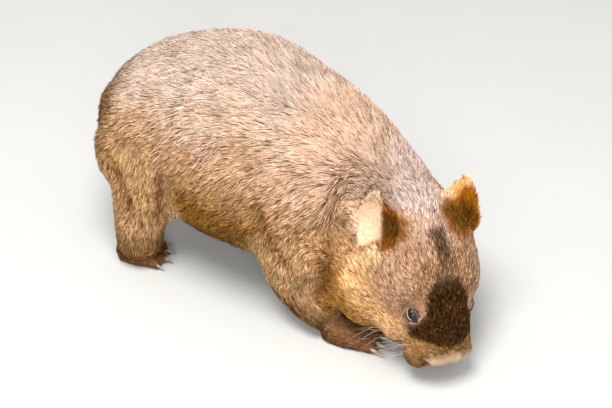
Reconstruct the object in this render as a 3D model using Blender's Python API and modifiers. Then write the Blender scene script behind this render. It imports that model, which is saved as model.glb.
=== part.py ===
"""A common wombat as a life-size still model, standing on four feet with its head lowered to graze.

The animal faces -Y with its right side at -X, and the floor is at z = 0. Sizes are in metres and
reach out to the tips of the coat. A station is (x, y, z, half_width, above, below): the middle of
a ring and how far the ring reaches from it. A form is a loft through its stations. The forms are
melted into one body of flesh, and thin cuts part that body into trunk, neck, head, legs and feet.
"""

import math

import bmesh
import bpy
import numpy as np
from mathutils import Euler, Matrix, Vector

GAP = 0.0004  # clearance between neighbouring solids
FLESH_VOXEL = 0.0045  # grid that melts the forms into one body
FLESH_TRIANGLES = 2230

# The forms are written for an animal 0.80 m long from nose to rump in this pose; this one is smaller
SIZE = 0.92

# The frame's origin is under the middle of the whole animal; this is where it lies among the forms.
ORIGIN = Vector((0.0, 0.0641, 0.0))

RIGHT, LEFT = -1, 1
SIDE_NAMES = {RIGHT: "right", LEFT: "left"}

# Trunk, from the rump forward
TRUNK = (
    (0.000, 0.402, 0.208, 0.100, 0.086, 0.090),
    (0.000, 0.352, 0.224, 0.138, 0.126, 0.128),
    (0.000, 0.275, 0.238, 0.154, 0.160, 0.166),
    (0.000, 0.180, 0.240, 0.162, 0.193, 0.186),
    (0.000, 0.085, 0.226, 0.162, 0.180, 0.170),
    (0.006, -0.010, 0.202, 0.150, 0.160, 0.148),
    (0.018, -0.080, 0.180, 0.124, 0.132, 0.128),
    (0.026, -0.135, 0.166, 0.100, 0.104, 0.110),
)

# The rounded back of the thigh, where the rump hangs over the hind leg
HAUNCH_AT, HAUNCH_SIZE = Vector((0.088, 0.352, 0.204)), Vector((0.072, 0.060, 0.084))
# The breast, which closes the space between cheek and foreleg
BREAST_AT, BREAST_SIZE = Vector((0.070, -0.070, 0.104)), Vector((0.066, 0.068, 0.072))

# The head in its own frame: the nose points to -Y and the crown to +Z, from between the ears
HEAD_AT = Vector((-0.004, -0.175, 0.172))
HEAD_YAW, HEAD_PITCH, HEAD_ROLL = math.radians(-29.5), math.radians(35), math.radians(10)
SKULL = (
    (0, 0.045, -0.020, 0.096, 0.086, 0.092),
    (0, 0.000, -0.014, 0.103, 0.086, 0.096),
    (0, -0.045, -0.010, 0.106, 0.085, 0.096),
    (0, -0.090, -0.008, 0.094, 0.073, 0.088),
    (0, -0.125, -0.010, 0.069, 0.059, 0.074),
    (0, -0.155, -0.013, 0.056, 0.047, 0.060),
    (0, -0.184, -0.016, 0.051, 0.036, 0.047),
)
MUZZLE_END = 0.35

EYE_AT = Vector((0.0522, -0.1262, 0.0190))
EYE_RADIUS = 0.0134

# The nose pad's middle and half sizes, and one nostril
NOSE_AT, NOSE_SIZE = Vector((0, -0.192, -0.008)), Vector((0.049, 0.020, 0.028))
NOSTRIL_AT, NOSTRIL_SIZE = Vector((0.032, -0.2045, -0.014)), Vector((0.0070, 0.008, 0.0050))

# Each ear's base and tip and the way that its cup opens, in the head's frame, as if it were the left one
EAR_BASE = {RIGHT: Vector((0.089, -0.009, 0.027)), LEFT: Vector((0.070, -0.006, 0.028))}
EAR_TIP = {RIGHT: Vector((0.099, 0.060, 0.097)), LEFT: Vector((0.071, 0.063, 0.101))}
EAR_OPENS = {RIGHT: Vector((0.78, -0.62, 0.06)), LEFT: Vector((0.91, 0.27, -0.25))}
EAR_HALF_WIDTH, EAR_CUP, EAR_THICK = 0.036, 0.014, 0.007

# Hind leg of the left side, from the hip down, and where its foot has heel and toes
HIND_LEG = (
    (0.080, 0.305, 0.235, 0.062, 0.085, 0.085),
    (0.106, 0.300, 0.170, 0.056, 0.078, 0.080),
    (0.126, 0.303, 0.110, 0.047, 0.057, 0.058),
    (0.135, 0.308, 0.062, 0.042, 0.046, 0.044),
    (0.136, 0.306, 0.036, 0.040, 0.044, 0.040),
)
HIND_FOOT = ((0.143, 0.330), (0.126, 0.294), 0.033, 0.038)
# Foreleg of the left side, from the shoulder down, and its foot
FORE_LEG = (
    (0.078, -0.050, 0.195, 0.062, 0.085, 0.085),
    (0.098, -0.006, 0.138, 0.057, 0.070, 0.070),
    (0.100, 0.010, 0.092, 0.047, 0.046, 0.040),
    (0.108, -0.030, 0.058, 0.042, 0.036, 0.034),
    (0.114, -0.074, 0.038, 0.036, 0.029, 0.026),
)
FORE_FOOT = ((0.114, -0.090), (0.094, -0.141), 0.034, 0.033)

# How far the left legs stand ahead of the right ones
HIND_STRIDE, FORE_STRIDE = 0.022, -0.030

# The thin cuts: round each leg, across the ankles and wrists, and twice across the neck. A leg's cut
# runs this far outside its forms, and a ball rounds it off over the thigh or the shoulder.
LEG_CUT_MARGIN = 0.006
THIGH_CUT = ((0.140, 0.292, 0.160), (0.072, 0.100, 0.110))
SHOULDER_CUT = ((0.134, -0.010, 0.135), (0.060, 0.078, 0.082))
ANKLE_AT, ANKLE_TURNS = Vector((0.136, 0.300, 0.044)), Vector((0, -0.10, -1))
WRIST_AT, WRIST_TURNS = Vector((0.114, -0.078, 0.036)), Vector((-0.10, -0.90, -0.42))
NECK_AT, NECK_TURNS = Vector((0.000, -0.062, 0.200)), Vector((-0.10, -0.98, -0.16))
NAPE_Y = 0.038  # where the head ends, in its own frame

TAIL = (
    (0, 0.415, 0.192, 0.013, 0.013, 0.013),
    (0, 0.439, 0.176, 0.012, 0.011, 0.011),
    (0, 0.450, 0.160, 0.008, 0.008, 0.008),
)

# Length and thickness of the claws of the hind and the forefeet
HIND_CLAW, FORE_CLAW = (0.019, 0.0040), (0.029, 0.0046)

# Name, colour and roughness of each material
COATS = {
    "coat_side": ((0.42, 0.29, 0.18), 0.9),
    "coat_face": ((0.36, 0.25, 0.16), 0.9),
    "coat_leg": ((0.33, 0.22, 0.12), 0.9),
    "coat_foot": ((0.20, 0.13, 0.08), 0.9),
    "ear_fur": ((0.72, 0.50, 0.34), 0.9),
    "nose_skin": ((0.34, 0.25, 0.18), 0.6),
    "eye_gloss": ((0.02, 0.012, 0.008), 0.1),
    "horn": ((0.30, 0.23, 0.17), 0.4),
}


def clear_scene():
    for obj in list(bpy.data.objects):
        bpy.data.objects.remove(obj)


def collection(name):
    made = bpy.data.collections.new(name)
    bpy.context.scene.collection.children.link(made)
    return made


def through(stations, fine):
    """A smooth curve through the stations, with fine steps from each to the next."""
    rows = np.asarray(stations, float)
    padded = np.vstack([2 * rows[0] - rows[1], rows, 2 * rows[-1] - rows[-2]])
    steps = (np.arange(fine) / fine)[:, None]
    out = []
    for a, b, c, d in zip(padded, padded[1:], padded[2:], padded[3:]):
        bend = (2 * a - 5 * b + 4 * c - d) * steps**2 + (3 * b - a - 3 * c + d) * steps**3
        out.extend(0.5 * (2 * b + (c - a) * steps + bend))
    return np.array(out + [rows[-1]])


def loft(
    stations, ends=(0.8, 0.8), side=(1, 0, 0), squareness=2.2, segments=32, fine=5, dome=(72, 54, 36, 18)
):
    """A closed form through the stations, domed at both ends. ends says how deep the domes are,
    as a share of the ring that they close."""
    rows = through(stations, fine)
    centres, sizes = rows[:, :3], rows[:, 3:]
    tangents = np.gradient(centres, axis=0)
    tangents /= np.linalg.norm(tangents, axis=1)[:, None]
    turns = np.linspace(0, 2 * math.pi, segments, endpoint=False)
    across = np.sign(np.cos(turns)) * np.abs(np.cos(turns)) ** (2 / squareness)
    upward = np.sign(np.sin(turns)) * np.abs(np.sin(turns)) ** (2 / squareness)

    def ring(centre, tangent, size, scale=1.0, shift=0.0):
        sideways = np.array(side) - tangent * np.dot(side, tangent)
        sideways /= np.linalg.norm(sideways)
        top = np.cross(tangent, sideways)
        height = np.where(upward > 0, size[1], size[2]) * upward
        middle = centre + tangent * shift
        return middle + scale * (np.outer(size[0] * across, sideways) + np.outer(height, top))

    dome = np.radians(dome)
    depths = [share * sizes[i].mean() for share, i in zip(ends, (0, -1))]
    rings = [
        ring(centres[0], tangents[0], sizes[0], math.cos(a), -depths[0] * math.sin(a)) for a in dome
    ]
    rings += [ring(*row) for row in zip(centres, tangents, sizes)]
    rings += [
        ring(centres[-1], tangents[-1], sizes[-1], math.cos(a), depths[1] * math.sin(a))
        for a in dome[::-1]
    ]
    poles = (centres[0] - tangents[0] * depths[0], centres[-1] + tangents[-1] * depths[1])
    return rings, poles


def loft_mesh(name, *args, **options):
    rings, poles = loft(*args, **options)
    bm = bmesh.new()
    loops = [[bm.verts.new(p) for p in ring] for ring in rings]
    first, last = (bm.verts.new(p) for p in poles)
    count = len(loops[0])
    for a, b in zip(loops, loops[1:]):
        for i in range(count):
            j = (i + 1) % count
            bm.faces.new((a[i], a[j], b[j], b[i]))
    for i in range(count):
        j = (i + 1) % count
        bm.faces.new((first, loops[0][j], loops[0][i]))
        bm.faces.new((last, loops[-1][i], loops[-1][j]))
    bmesh.ops.recalc_face_normals(bm, faces=bm.faces)
    mesh = bpy.data.meshes.new(name)
    bm.to_mesh(mesh)
    bm.free()
    return mesh


def ball_mesh(name, centre, radii, turn=(0, 0, 0), segments=28):
    bm = bmesh.new()
    bmesh.ops.create_uvsphere(bm, u_segments=segments, v_segments=segments // 2, radius=1)
    place = Matrix.LocRotScale(Vector(centre), Euler(turn), Vector(radii))
    bmesh.ops.transform(bm, matrix=place, verts=bm.verts)
    mesh = bpy.data.meshes.new(name)
    bm.to_mesh(mesh)
    bm.free()
    return mesh


def mirrored(mesh):
    """The same form on the other side of the animal's middle plane."""
    copy = mesh.copy()
    copy.transform(Matrix.Diagonal((-1, 1, 1, 1)))
    copy.flip_normals()
    return copy


def on_side(mesh, side):
    return mesh.copy() if side == LEFT else mirrored(mesh)


def moved(mesh, offset):
    copy = mesh.copy()
    copy.transform(Matrix.Translation(offset))
    return copy


def head_matrix():
    turn = Euler((HEAD_PITCH, HEAD_ROLL, HEAD_YAW), "XYZ")
    return Matrix.LocRotScale(HEAD_AT, turn, None)


def join_meshes(name, meshes):
    bm = bmesh.new()
    for mesh in meshes:
        bm.from_mesh(mesh)
    joined = bpy.data.meshes.new(name)
    bm.to_mesh(joined)
    bm.free()
    return joined


def grown(mesh, by=2 * GAP):
    """The form with its corners pushed out along their normals, to cut the place that it sits in."""
    copy = mesh.copy()
    for vertex, normal in zip(copy.vertices, [v.normal.copy() for v in mesh.vertices]):
        vertex.co += normal * by
    return copy


def largest_body(mesh):
    """The mesh without the loose slivers that cuts leave beside it."""
    bm = bmesh.new()
    bm.from_mesh(mesh)
    unseen = set(bm.verts)
    bodies = []
    while unseen:
        edge_of_body = [unseen.pop()]
        body = set(edge_of_body)
        while edge_of_body:
            near = {e.other_vert(v) for v in edge_of_body for e in v.link_edges}
            edge_of_body = list(near - body)
            body |= near
        unseen -= body
        bodies.append(body)
    bodies.sort(key=len)
    for body in bodies[:-1]:
        bmesh.ops.delete(bm, geom=list(body), context="VERTS")
    bm.to_mesh(mesh)
    bm.free()


def evaluated_mesh(obj):
    bpy.context.view_layer.update()
    graph = bpy.context.evaluated_depsgraph_get()
    return bpy.data.meshes.new_from_object(obj.evaluated_get(graph))


def with_modifier(mesh, kind, **settings):
    """The mesh as the modifier leaves it."""
    obj = bpy.data.objects.new("work", mesh)
    bpy.context.scene.collection.objects.link(obj)
    modifier = obj.modifiers.new("work", kind)
    for key, value in settings.items():
        setattr(modifier, key, value)
    done = evaluated_mesh(obj)
    bpy.data.objects.remove(obj)
    return done


def boolean(mesh, operation, tool_mesh):
    tool = bpy.data.objects.new("tool", tool_mesh)
    bpy.context.scene.collection.objects.link(tool)
    tool.hide_render = True
    tool.display_type = "WIRE"
    done = with_modifier(mesh, "BOOLEAN", operation=operation, object=tool, solver="EXACT")
    bpy.data.objects.remove(tool)
    return done


def plane_side(mesh, point, normal):
    """The part of a closed mesh on the side that the normal points to, closed again by a flat face."""
    bm = bmesh.new()
    bm.from_mesh(mesh)
    geometry = bm.verts[:] + bm.edges[:] + bm.faces[:]
    cut = bmesh.ops.bisect_plane(
        bm, geom=geometry, dist=1e-6, plane_co=point, plane_no=normal, clear_inner=True
    )
    rim = [item for item in cut["geom_cut"] if isinstance(item, bmesh.types.BMEdge)]
    filled = bmesh.ops.triangle_fill(bm, edges=rim, use_beauty=True, normal=-Vector(normal))
    bmesh.ops.recalc_face_normals(bm, faces=bm.faces)
    done = bpy.data.meshes.new("half")
    bm.to_mesh(done)
    bm.free()
    return done


def head_forms():
    """The forms of the head, in its own frame."""
    forms = [loft_mesh("skull", SKULL, ends=(0.6, MUZZLE_END), squareness=2.5)]
    pairs = [
        ball_mesh("cheek", (0.077, -0.041, -0.062), (0.054, 0.077, 0.062)),
        ball_mesh("jowl", (0.047, -0.100, -0.036), (0.042, 0.060, 0.038)),
        ball_mesh("brow", (0.040, -0.102, 0.036), (0.016, 0.026, 0.012), (0, 0.5, 0.25)),
        ball_mesh("whisker_pad", (0.036, -0.178, -0.027), (0.026, 0.030, 0.029)),
    ]
    forms += pairs + [mirrored(m) for m in pairs]
    forms.append(ball_mesh("nape", (0, 0.050, -0.010), (0.080, 0.080, 0.078)))
    forms.append(ball_mesh("lip", (0, -0.184, -0.035), (0.038, 0.024, 0.022)))
    forms.append(ball_mesh("chin", (0, -0.158, -0.056), (0.030, 0.036, 0.020)))
    return forms


def foot_forms(foot, toe_count):
    """A flat foot from its heel to its toes."""
    (hx, hy), (tx, ty), half_width, height = foot
    stations = (
        (hx, hy, height * 0.5, half_width * 0.80, height * 0.55, height * 0.75),
        ((hx + tx) / 2, (hy + ty) / 2, height * 0.45, half_width, height * 0.50, height * 0.75),
        (tx, ty, height * 0.38, half_width * 1.02, height * 0.36, height * 0.60),
    )
    forms = [loft_mesh("foot", stations, ends=(0.9, 0.4), squareness=2.6)]
    for place, ahead in toe_places(foot, toe_count):
        root = place - ahead * 0.006 + Vector((0, 0, 0.009))
        forms.append(ball_mesh("toe", root, (0.0085, 0.017, 0.0105), (0, 0, turn_of(ahead))))
    return forms


def turn_of(ahead):
    """How far a form along Y turns to lie along the given direction on the floor."""
    return math.atan2(ahead.x, -ahead.y)


def toe_places(foot, count):
    """Where the toes of a left foot end, and the way that each one points."""
    (hx, hy), (tx, ty), half_width, height = foot
    forward = Vector((tx - hx, ty - hy, 0)).normalized()
    across = Vector((-forward.y, forward.x, 0))
    places = []
    for i in range(count):
        share = 2 * i / (count - 1) - 1
        ahead = (forward + across * share * 0.28).normalized()
        reach = 0.028 - 0.011 * share**2
        middle = Vector((tx, ty, 0)) + across * share * half_width * 0.78
        places.append((middle + ahead * reach, ahead))
    return places


def limb_forms(leg, foot, toes):
    """A left leg from hip or shoulder to toes."""
    return [loft_mesh("leg", leg, ends=(0.5, 0.3))] + foot_forms(foot, toes)


def both_limbs(leg, foot, toes, stride):
    limb = limb_forms(leg, foot, toes)
    return [mirrored(m) for m in limb] + [moved(m, (0, -stride, 0)) for m in limb]


def body_forms():
    forms = [loft_mesh("trunk", TRUNK, ends=(0.50, 0.5))]
    for name, place, size in (("haunch", HAUNCH_AT, HAUNCH_SIZE), ("breast", BREAST_AT, BREAST_SIZE)):
        ball = ball_mesh(name, place, size)
        forms += [ball, mirrored(ball)]
    forms += both_limbs(HIND_LEG, HIND_FOOT, 4, HIND_STRIDE)
    forms += both_limbs(FORE_LEG, FORE_FOOT, 5, FORE_STRIDE)
    for mesh in head_forms():
        mesh.transform(head_matrix())
        forms.append(mesh)
    return forms


def soften(mesh):
    """Evens the surface, much on the trunk and little on the face and the feet."""
    count = len(mesh.vertices)
    places = np.empty(count * 3)
    mesh.vertices.foreach_get("co", places)
    places = places.reshape(-1, 3)
    ends = np.empty(len(mesh.edges) * 2, int)
    mesh.edges.foreach_get("vertices", ends)
    one, other = ends.reshape(-1, 2).T
    neighbours = np.bincount(ends, minlength=count)[:, None]
    to_face = np.linalg.norm(places - np.array(head_matrix() @ Vector((0, -0.13, -0.02))), axis=1)
    care = np.minimum(np.clip((to_face - 0.07) / 0.10, 0, 1), np.clip((places[:, 2] - 0.02) / 0.06, 0, 1))
    for turn in range(26):
        amount = (0.55 * np.where(turn < 4, 1.0, care))[:, None]
        total = np.zeros_like(places)
        for axis in range(3):
            total[:, axis] += np.bincount(one, places[other, axis], minlength=count)
            total[:, axis] += np.bincount(other, places[one, axis], minlength=count)
        places = places + amount * (total / neighbours - places)
    mesh.vertices.foreach_set("co", places.ravel())
    mesh.update()


def flesh_mesh():
    mesh = with_modifier(
        join_meshes("flesh", body_forms()), "REMESH", mode="VOXEL", voxel_size=FLESH_VOXEL
    )
    soften(mesh)
    mesh = with_modifier(mesh, "DECIMATE", ratio=FLESH_TRIANGLES / (2 * len(mesh.polygons)))
    return plane_side(mesh, (0, 0, 0), (0, 0, 1))


def ear_mesh(side):
    """An ear, a cup with a thick rim, in the head's frame. Its root goes into the head."""
    base = EAR_BASE[side]
    upward = EAR_TIP[side] - base
    height = upward.length
    upward.normalize()
    opens = EAR_OPENS[side]
    opens = (opens - upward * opens.dot(upward)).normalized()
    across = upward.cross(opens)
    bm = bmesh.new()
    rows = []
    for u in np.linspace(0, 0.985, 7):
        width = EAR_HALF_WIDTH * math.sin(math.pi * (0.12 + 0.88 * u) ** 0.9) ** 0.55
        row = []
        for v in np.linspace(-1, 1, 7):
            curl = EAR_CUP * (1 - 0.45 * u) * v**2 - 0.010 * math.sin(math.pi * u)
            place = base + upward * height * u * (1 - 0.04 * v**2) + across * width * v
            row.append(bm.verts.new(place + opens * curl))
        rows.append(row)
    for low, high in zip(rows, rows[1:]):
        for i in range(len(low) - 1):
            bm.faces.new((low[i], low[i + 1], high[i + 1], high[i]))
    sheet = bpy.data.meshes.new("ear")
    bm.to_mesh(sheet)
    bm.free()
    return on_side(with_modifier(sheet, "SOLIDIFY", thickness=EAR_THICK, offset=0), side)


def nose_mesh():
    """The bare pad at the end of the muzzle, with its two nostrils, in the head's frame."""
    pad = ball_mesh("nose", NOSE_AT, NOSE_SIZE, segments=16)
    pit = ball_mesh("nostril", NOSTRIL_AT, NOSTRIL_SIZE, (0, 0.4, 0.3), segments=8)
    for nostril in (pit, mirrored(pit)):
        pad = boolean(pad, "DIFFERENCE", nostril)
    return pad


def claw_mesh(place, ahead, size):
    """A claw that leaves the toe level, bends down and stops just above the floor."""
    length, thick = size
    path = ((-0.50, 0.0105, 0.95), (0.20, 0.0110, 0.95), (0.95, 0.0028, 0.22))
    stations = []
    for along, height, share in path:
        point = place + ahead * (along * length)
        radius = thick * share
        stations.append((point.x, point.y, height, radius * 0.85, radius, radius))
    side = (-ahead.y, ahead.x, 0)
    return loft_mesh("claw", stations, ends=(0.5, 1.0), side=side, segments=6, fine=1, dome=())


def leg_cut(leg, foot, toes, ball):
    """The space that holds a whole left leg, to part it from the trunk."""
    forms = [loft_mesh("leg", leg[1:], ends=(0.5, 0.3))] + foot_forms(foot, toes)
    space = join_meshes("cut", [grown(m, LEG_CUT_MARGIN) for m in forms] + [ball_mesh("ball", *ball)])
    space = with_modifier(space, "REMESH", mode="VOXEL", voxel_size=2 * FLESH_VOXEL)
    space = with_modifier(space, "SMOOTH", factor=0.5, iterations=4)
    return with_modifier(space, "DECIMATE", ratio=0.08)


def leg_nodes(flesh, limb_stations, ball, joint, foot, toes, claw, stride, names):
    """Both legs of one pair: each parted into leg and foot, with its claws set into the foot."""
    nodes = []
    space = leg_cut(limb_stations, foot, toes, ball)
    for side in (RIGHT, LEFT):
        shift = Vector((0, -stride if side == LEFT else 0, 0))
        region = moved(on_side(space, side), shift)
        limb = boolean(flesh, "INTERSECT", region)
        flesh = boolean(flesh, "DIFFERENCE", grown(region))
        at, turns = (Vector((side * v.x, v.y, v.z)) for v in joint)
        turns.normalize()
        leg = plane_side(limb, at + shift, -turns)
        paw = plane_side(limb, at + shift + turns * GAP, turns)
        word = SIDE_NAMES[side]
        for number, (place, ahead) in enumerate(toe_places(foot, toes), 1):
            mesh = moved(on_side(claw_mesh(place, ahead, claw), side), shift)
            paw = boolean(paw, "DIFFERENCE", grown(mesh))
            nodes.append((f"{word}_{names[2]}_{number}", mesh, "horn"))
        nodes.append((f"{word}_{names[0]}", leg, "coat_leg"))
        nodes.append((f"{word}_{names[1]}", paw, "coat_foot"))
    return flesh, nodes


def head_nodes(head, neck):
    """The head with sockets for its ears, eyes and nose, these pieces themselves, and the neck, cut
    back where an ear lies against it."""
    eye = ball_mesh("eye", EYE_AT, (EYE_RADIUS, EYE_RADIUS, EYE_RADIUS), segments=12)
    nodes = [("nose", nose_mesh(), "nose_skin")]
    for side in (RIGHT, LEFT):
        word = SIDE_NAMES[side]
        nodes.append((f"{word}_eye", on_side(eye, side), "eye_gloss"))
        nodes.append((f"{word}_ear", ear_mesh(side), "ear_fur"))
    for name, mesh, coat in nodes:
        mesh.transform(head_matrix())
        socket = grown(mesh, 4 * GAP if coat == "ear_fur" else 2 * GAP)
        head = boolean(head, "DIFFERENCE", socket)
        if coat == "ear_fur":
            neck = boolean(neck, "DIFFERENCE", socket)
    return [("head", head, "coat_face"), ("neck", neck, "coat_side")] + nodes


def coat_material(name):
    colour, rough = COATS[name]
    made = bpy.data.materials.new(name)
    made.use_nodes = True
    shader = made.node_tree.nodes["Principled BSDF"]
    shader.inputs["Base Color"].default_value = (*colour, 1)
    shader.inputs["Roughness"].default_value = rough
    return made


def main():
    clear_scene()
    flesh = flesh_mesh()
    ankle, wrist = (ANKLE_AT, ANKLE_TURNS), (WRIST_AT, WRIST_TURNS)
    hind = (HIND_LEG, THIGH_CUT, ankle, HIND_FOOT, 4, HIND_CLAW, HIND_STRIDE)
    fore = (FORE_LEG, SHOULDER_CUT, wrist, FORE_FOOT, 5, FORE_CLAW, FORE_STRIDE)
    flesh, nodes = leg_nodes(flesh, *hind, ("hind_leg", "hind_foot", "hind_claw"))
    flesh, more = leg_nodes(flesh, *fore, ("foreleg", "forefoot", "fore_claw"))
    nodes += more

    neck_turns = NECK_TURNS.normalized()
    nape_turns = head_matrix().to_3x3() @ Vector((0, -1, 0))
    nape_at = head_matrix() @ Vector((0, NAPE_Y, 0))
    trunk = plane_side(flesh, NECK_AT, -neck_turns)
    front = plane_side(flesh, NECK_AT + neck_turns * GAP, neck_turns)
    neck = plane_side(front, nape_at, -nape_turns)
    head = plane_side(front, nape_at + nape_turns * GAP, nape_turns)
    tail = loft_mesh("tail", TAIL, segments=10, fine=1, dome=(50, 20))
    trunk = boolean(trunk, "DIFFERENCE", grown(tail))
    nodes += [("trunk", trunk, "coat_side"), ("tail", tail, "coat_side")]
    nodes += head_nodes(head, neck)

    parts = collection("wombat")
    coats = {name: coat_material(name) for name in COATS}
    for name, mesh, coat in nodes:
        largest_body(mesh)
        mesh.transform(Matrix.Scale(SIZE, 4) @ Matrix.Translation(-ORIGIN))
        mesh.materials.clear()
        mesh.materials.append(coats[coat])
        mesh.shade_smooth()
        parts.objects.link(bpy.data.objects.new(name, mesh))


main()
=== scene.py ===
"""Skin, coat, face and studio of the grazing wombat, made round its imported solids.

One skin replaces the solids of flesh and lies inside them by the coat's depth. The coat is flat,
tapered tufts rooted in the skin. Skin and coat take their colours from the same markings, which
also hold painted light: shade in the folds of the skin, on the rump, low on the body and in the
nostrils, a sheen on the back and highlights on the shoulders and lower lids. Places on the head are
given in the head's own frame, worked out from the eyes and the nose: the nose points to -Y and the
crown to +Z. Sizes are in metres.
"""

import math

import bmesh
import bpy
import numpy as np
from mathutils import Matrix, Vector
from mathutils.bvhtree import BVHTree
from mathutils.kdtree import KDTree


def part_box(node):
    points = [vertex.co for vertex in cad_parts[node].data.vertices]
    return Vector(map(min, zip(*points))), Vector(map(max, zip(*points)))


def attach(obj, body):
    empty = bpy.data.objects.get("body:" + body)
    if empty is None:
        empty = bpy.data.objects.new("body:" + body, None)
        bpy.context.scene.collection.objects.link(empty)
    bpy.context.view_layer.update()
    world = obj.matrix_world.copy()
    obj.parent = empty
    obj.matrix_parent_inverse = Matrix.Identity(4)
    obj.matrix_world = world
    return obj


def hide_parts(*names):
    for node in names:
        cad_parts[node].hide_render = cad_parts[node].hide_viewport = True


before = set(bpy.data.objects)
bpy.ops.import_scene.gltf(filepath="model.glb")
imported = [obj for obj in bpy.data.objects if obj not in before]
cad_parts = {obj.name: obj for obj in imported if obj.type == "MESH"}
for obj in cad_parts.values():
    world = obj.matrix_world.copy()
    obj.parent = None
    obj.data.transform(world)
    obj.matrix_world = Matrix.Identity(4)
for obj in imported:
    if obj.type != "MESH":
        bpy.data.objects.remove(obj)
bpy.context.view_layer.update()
random = np.random.default_rng(7)

SIDES = {"right": -1, "left": 1}
LEGS = [f"{side}_{leg}" for side in SIDES for leg in ("hind_leg", "foreleg")]
FEET = [f"{side}_{foot}" for side in SIDES for foot in ("hind_foot", "forefoot")]
EARS = [f"{side}_ear" for side in SIDES]
FLESH = ["trunk", "neck", "head", "tail", *LEGS, *FEET, *EARS]

SKIN_GRID = 0.0026
SKIN_OVERLAP = 0.0010  # how far the solids swell to melt into one skin
FINE_ROUND_EYE, FINE_ROUND_NOSE = 0.026, 0.060  # where the skin's grid is halved
FLOOR_GAP = 0.0003  # between the lowest hair and the floor
WELD = 0.00001  # points nearer together than this become one

# Places on the head, in its own frame, as if on its left where there are two
EYES_MIDDLE = np.array([0.0, -0.1161, 0.0175])
NOSE_MIDDLE = np.array([0.0, -0.1766, -0.0074])
NOSE_SIZE = np.array([0.0451, 0.0184, 0.0258])
NOSTRIL_X, NOSTRIL_Z = 0.0310, -0.0045
MUZZLE_TIP = np.array([0.0, -0.195, -0.010])

# Each ear's base and tip, the way that its cup opens, and the dark tuft before it
EAR_BASE = {"right": (0.0819, -0.0083, 0.0248), "left": (0.0644, -0.0055, 0.0258)}
EAR_TIP = {"right": (0.0911, 0.0552, 0.0892), "left": (0.0653, 0.0580, 0.0929)}
EAR_OPENS = {"right": (0.78, -0.62, 0.06), "left": (0.91, 0.27, -0.25)}
EAR_TUFT_AT = {"right": (0.064, 0.003, 0.063), "left": (0.052, 0.000, 0.058)}
EAR_TUFT_SIZE = (0.024, 0.026, 0.034)
EAR_PALE_AT = (0.094, -0.022, 0.020)  # the pale tuft below the dark one
EAR_HALF_WIDTH = 0.0331

# The way that the left eye looks, the way from its rear corner to its front one, and the half length and
# half height of the opening between the lids
EYE_LOOKS = np.array([0.72, -0.35, 0.60])
EYE_LONG_SIDE = np.array([-0.013, -0.024, -0.007])
LID_HALF_LENGTH, LID_HALF_HEIGHT = 0.0124, 0.0053
LID_POWER = 1.5  # 2 would make the opening an ellipse and 1 a diamond
EYE_SINK = 0.0015  # how much deeper than the solid the eyeball sits
EYE_GAP, EYE_POCKET = 0.0010, 0.0045  # how far the skin lies behind the eyeball's front, and further inside

# The dark bridge of the nose: pairs of a place, ever nearer to the nose, and half its width there, and
# pairs of a place, ever further from the middle, and how far forward it reaches there
BRIDGE_WIDTH = (
    (0.060, 0.004), (0.086, 0.019), (0.098, 0.027), (0.108, 0.033),
    (0.119, 0.036), (0.132, 0.038), (0.141, 0.050), (0.160, 0.056),
)
BRIDGE_END = ((0.0, 0.179), (0.013, 0.178), (0.024, 0.171), (0.040, 0.161), (0.052, 0.146))

# Folds of the skin on the right side: half width, depth and the points that each passes through. The
# skin sinks in them, and painted shade darkens the skin and the coat along them. The left side has them
# too, but not the first, because the neck bends to the right.
FOLDS = (
    (0.016, 0.0080, (
        (-0.060, -0.150, 0.285), (-0.084, -0.150, 0.266), (-0.098, -0.153, 0.240), (-0.104, -0.155, 0.206),
        (-0.109, -0.151, 0.175), (-0.112, -0.146, 0.136), (-0.113, -0.138, 0.097),
    )),
    (0.012, 0.0045, (
        (-0.139, -0.037, 0.235), (-0.140, -0.044, 0.200), (-0.137, -0.052, 0.163), (-0.139, -0.074, 0.141),
    )),
    (0.010, 0.0045, (
        (-0.141, 0.267, 0.214), (-0.142, 0.242, 0.185), (-0.148, 0.228, 0.159), (-0.148, 0.214, 0.135),
    )),
    (0.011, 0.0040, ((-0.146, 0.153, 0.215), (-0.138, 0.166, 0.165), (-0.136, 0.171, 0.121))),
)

# How deep the skin lies in the solids of the trunk, then in other places
DEPTH = 0.0075
DEPTHS = {
    "leg": 0.0048, "tail": 0.0015, "on_head": 0.0052, "face": 0.0032,
    "muzzle": 0.0018, "foot": 0.0016, "ear": 0.0013,
}

# Length and width of the trunk's tufts and how many layers of them cover the skin, then the same in
# other places
TUFT = (0.0225, 0.00100, 4.7)
TUFTS = {
    "leg": (0.0160, 0.00098, 4.1),
    "tail": (0.0110, 0.00090, 4.5),
    "on_head": (0.0150, 0.00090, 4.3),
    "face": (0.0100, 0.00074, 4.3),
    "muzzle": (0.0056, 0.00068, 4.4),
    "foot": (0.0065, 0.00090, 4.0),
    "by_ear": (0.0095, 0.00088, 3.6),
    "ear": (0.0105, 0.00085, 4.5),
    "ear_rim": (0.0108, 0.00080, 4.5),
    "in_ear": (0.0050, 0.00050, 0.25),
    "before_ear": (0.0165, 0.00090, 5.0),
    "by_eye": (0.0036, 0.00065, 5.0),
}


def srgb(*colour):
    """A linear colour from one as screens show it."""
    c = np.array(colour)
    return np.where(c <= 0.04045, c / 12.92, ((c + 0.055) / 1.055) ** 2.4)


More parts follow.
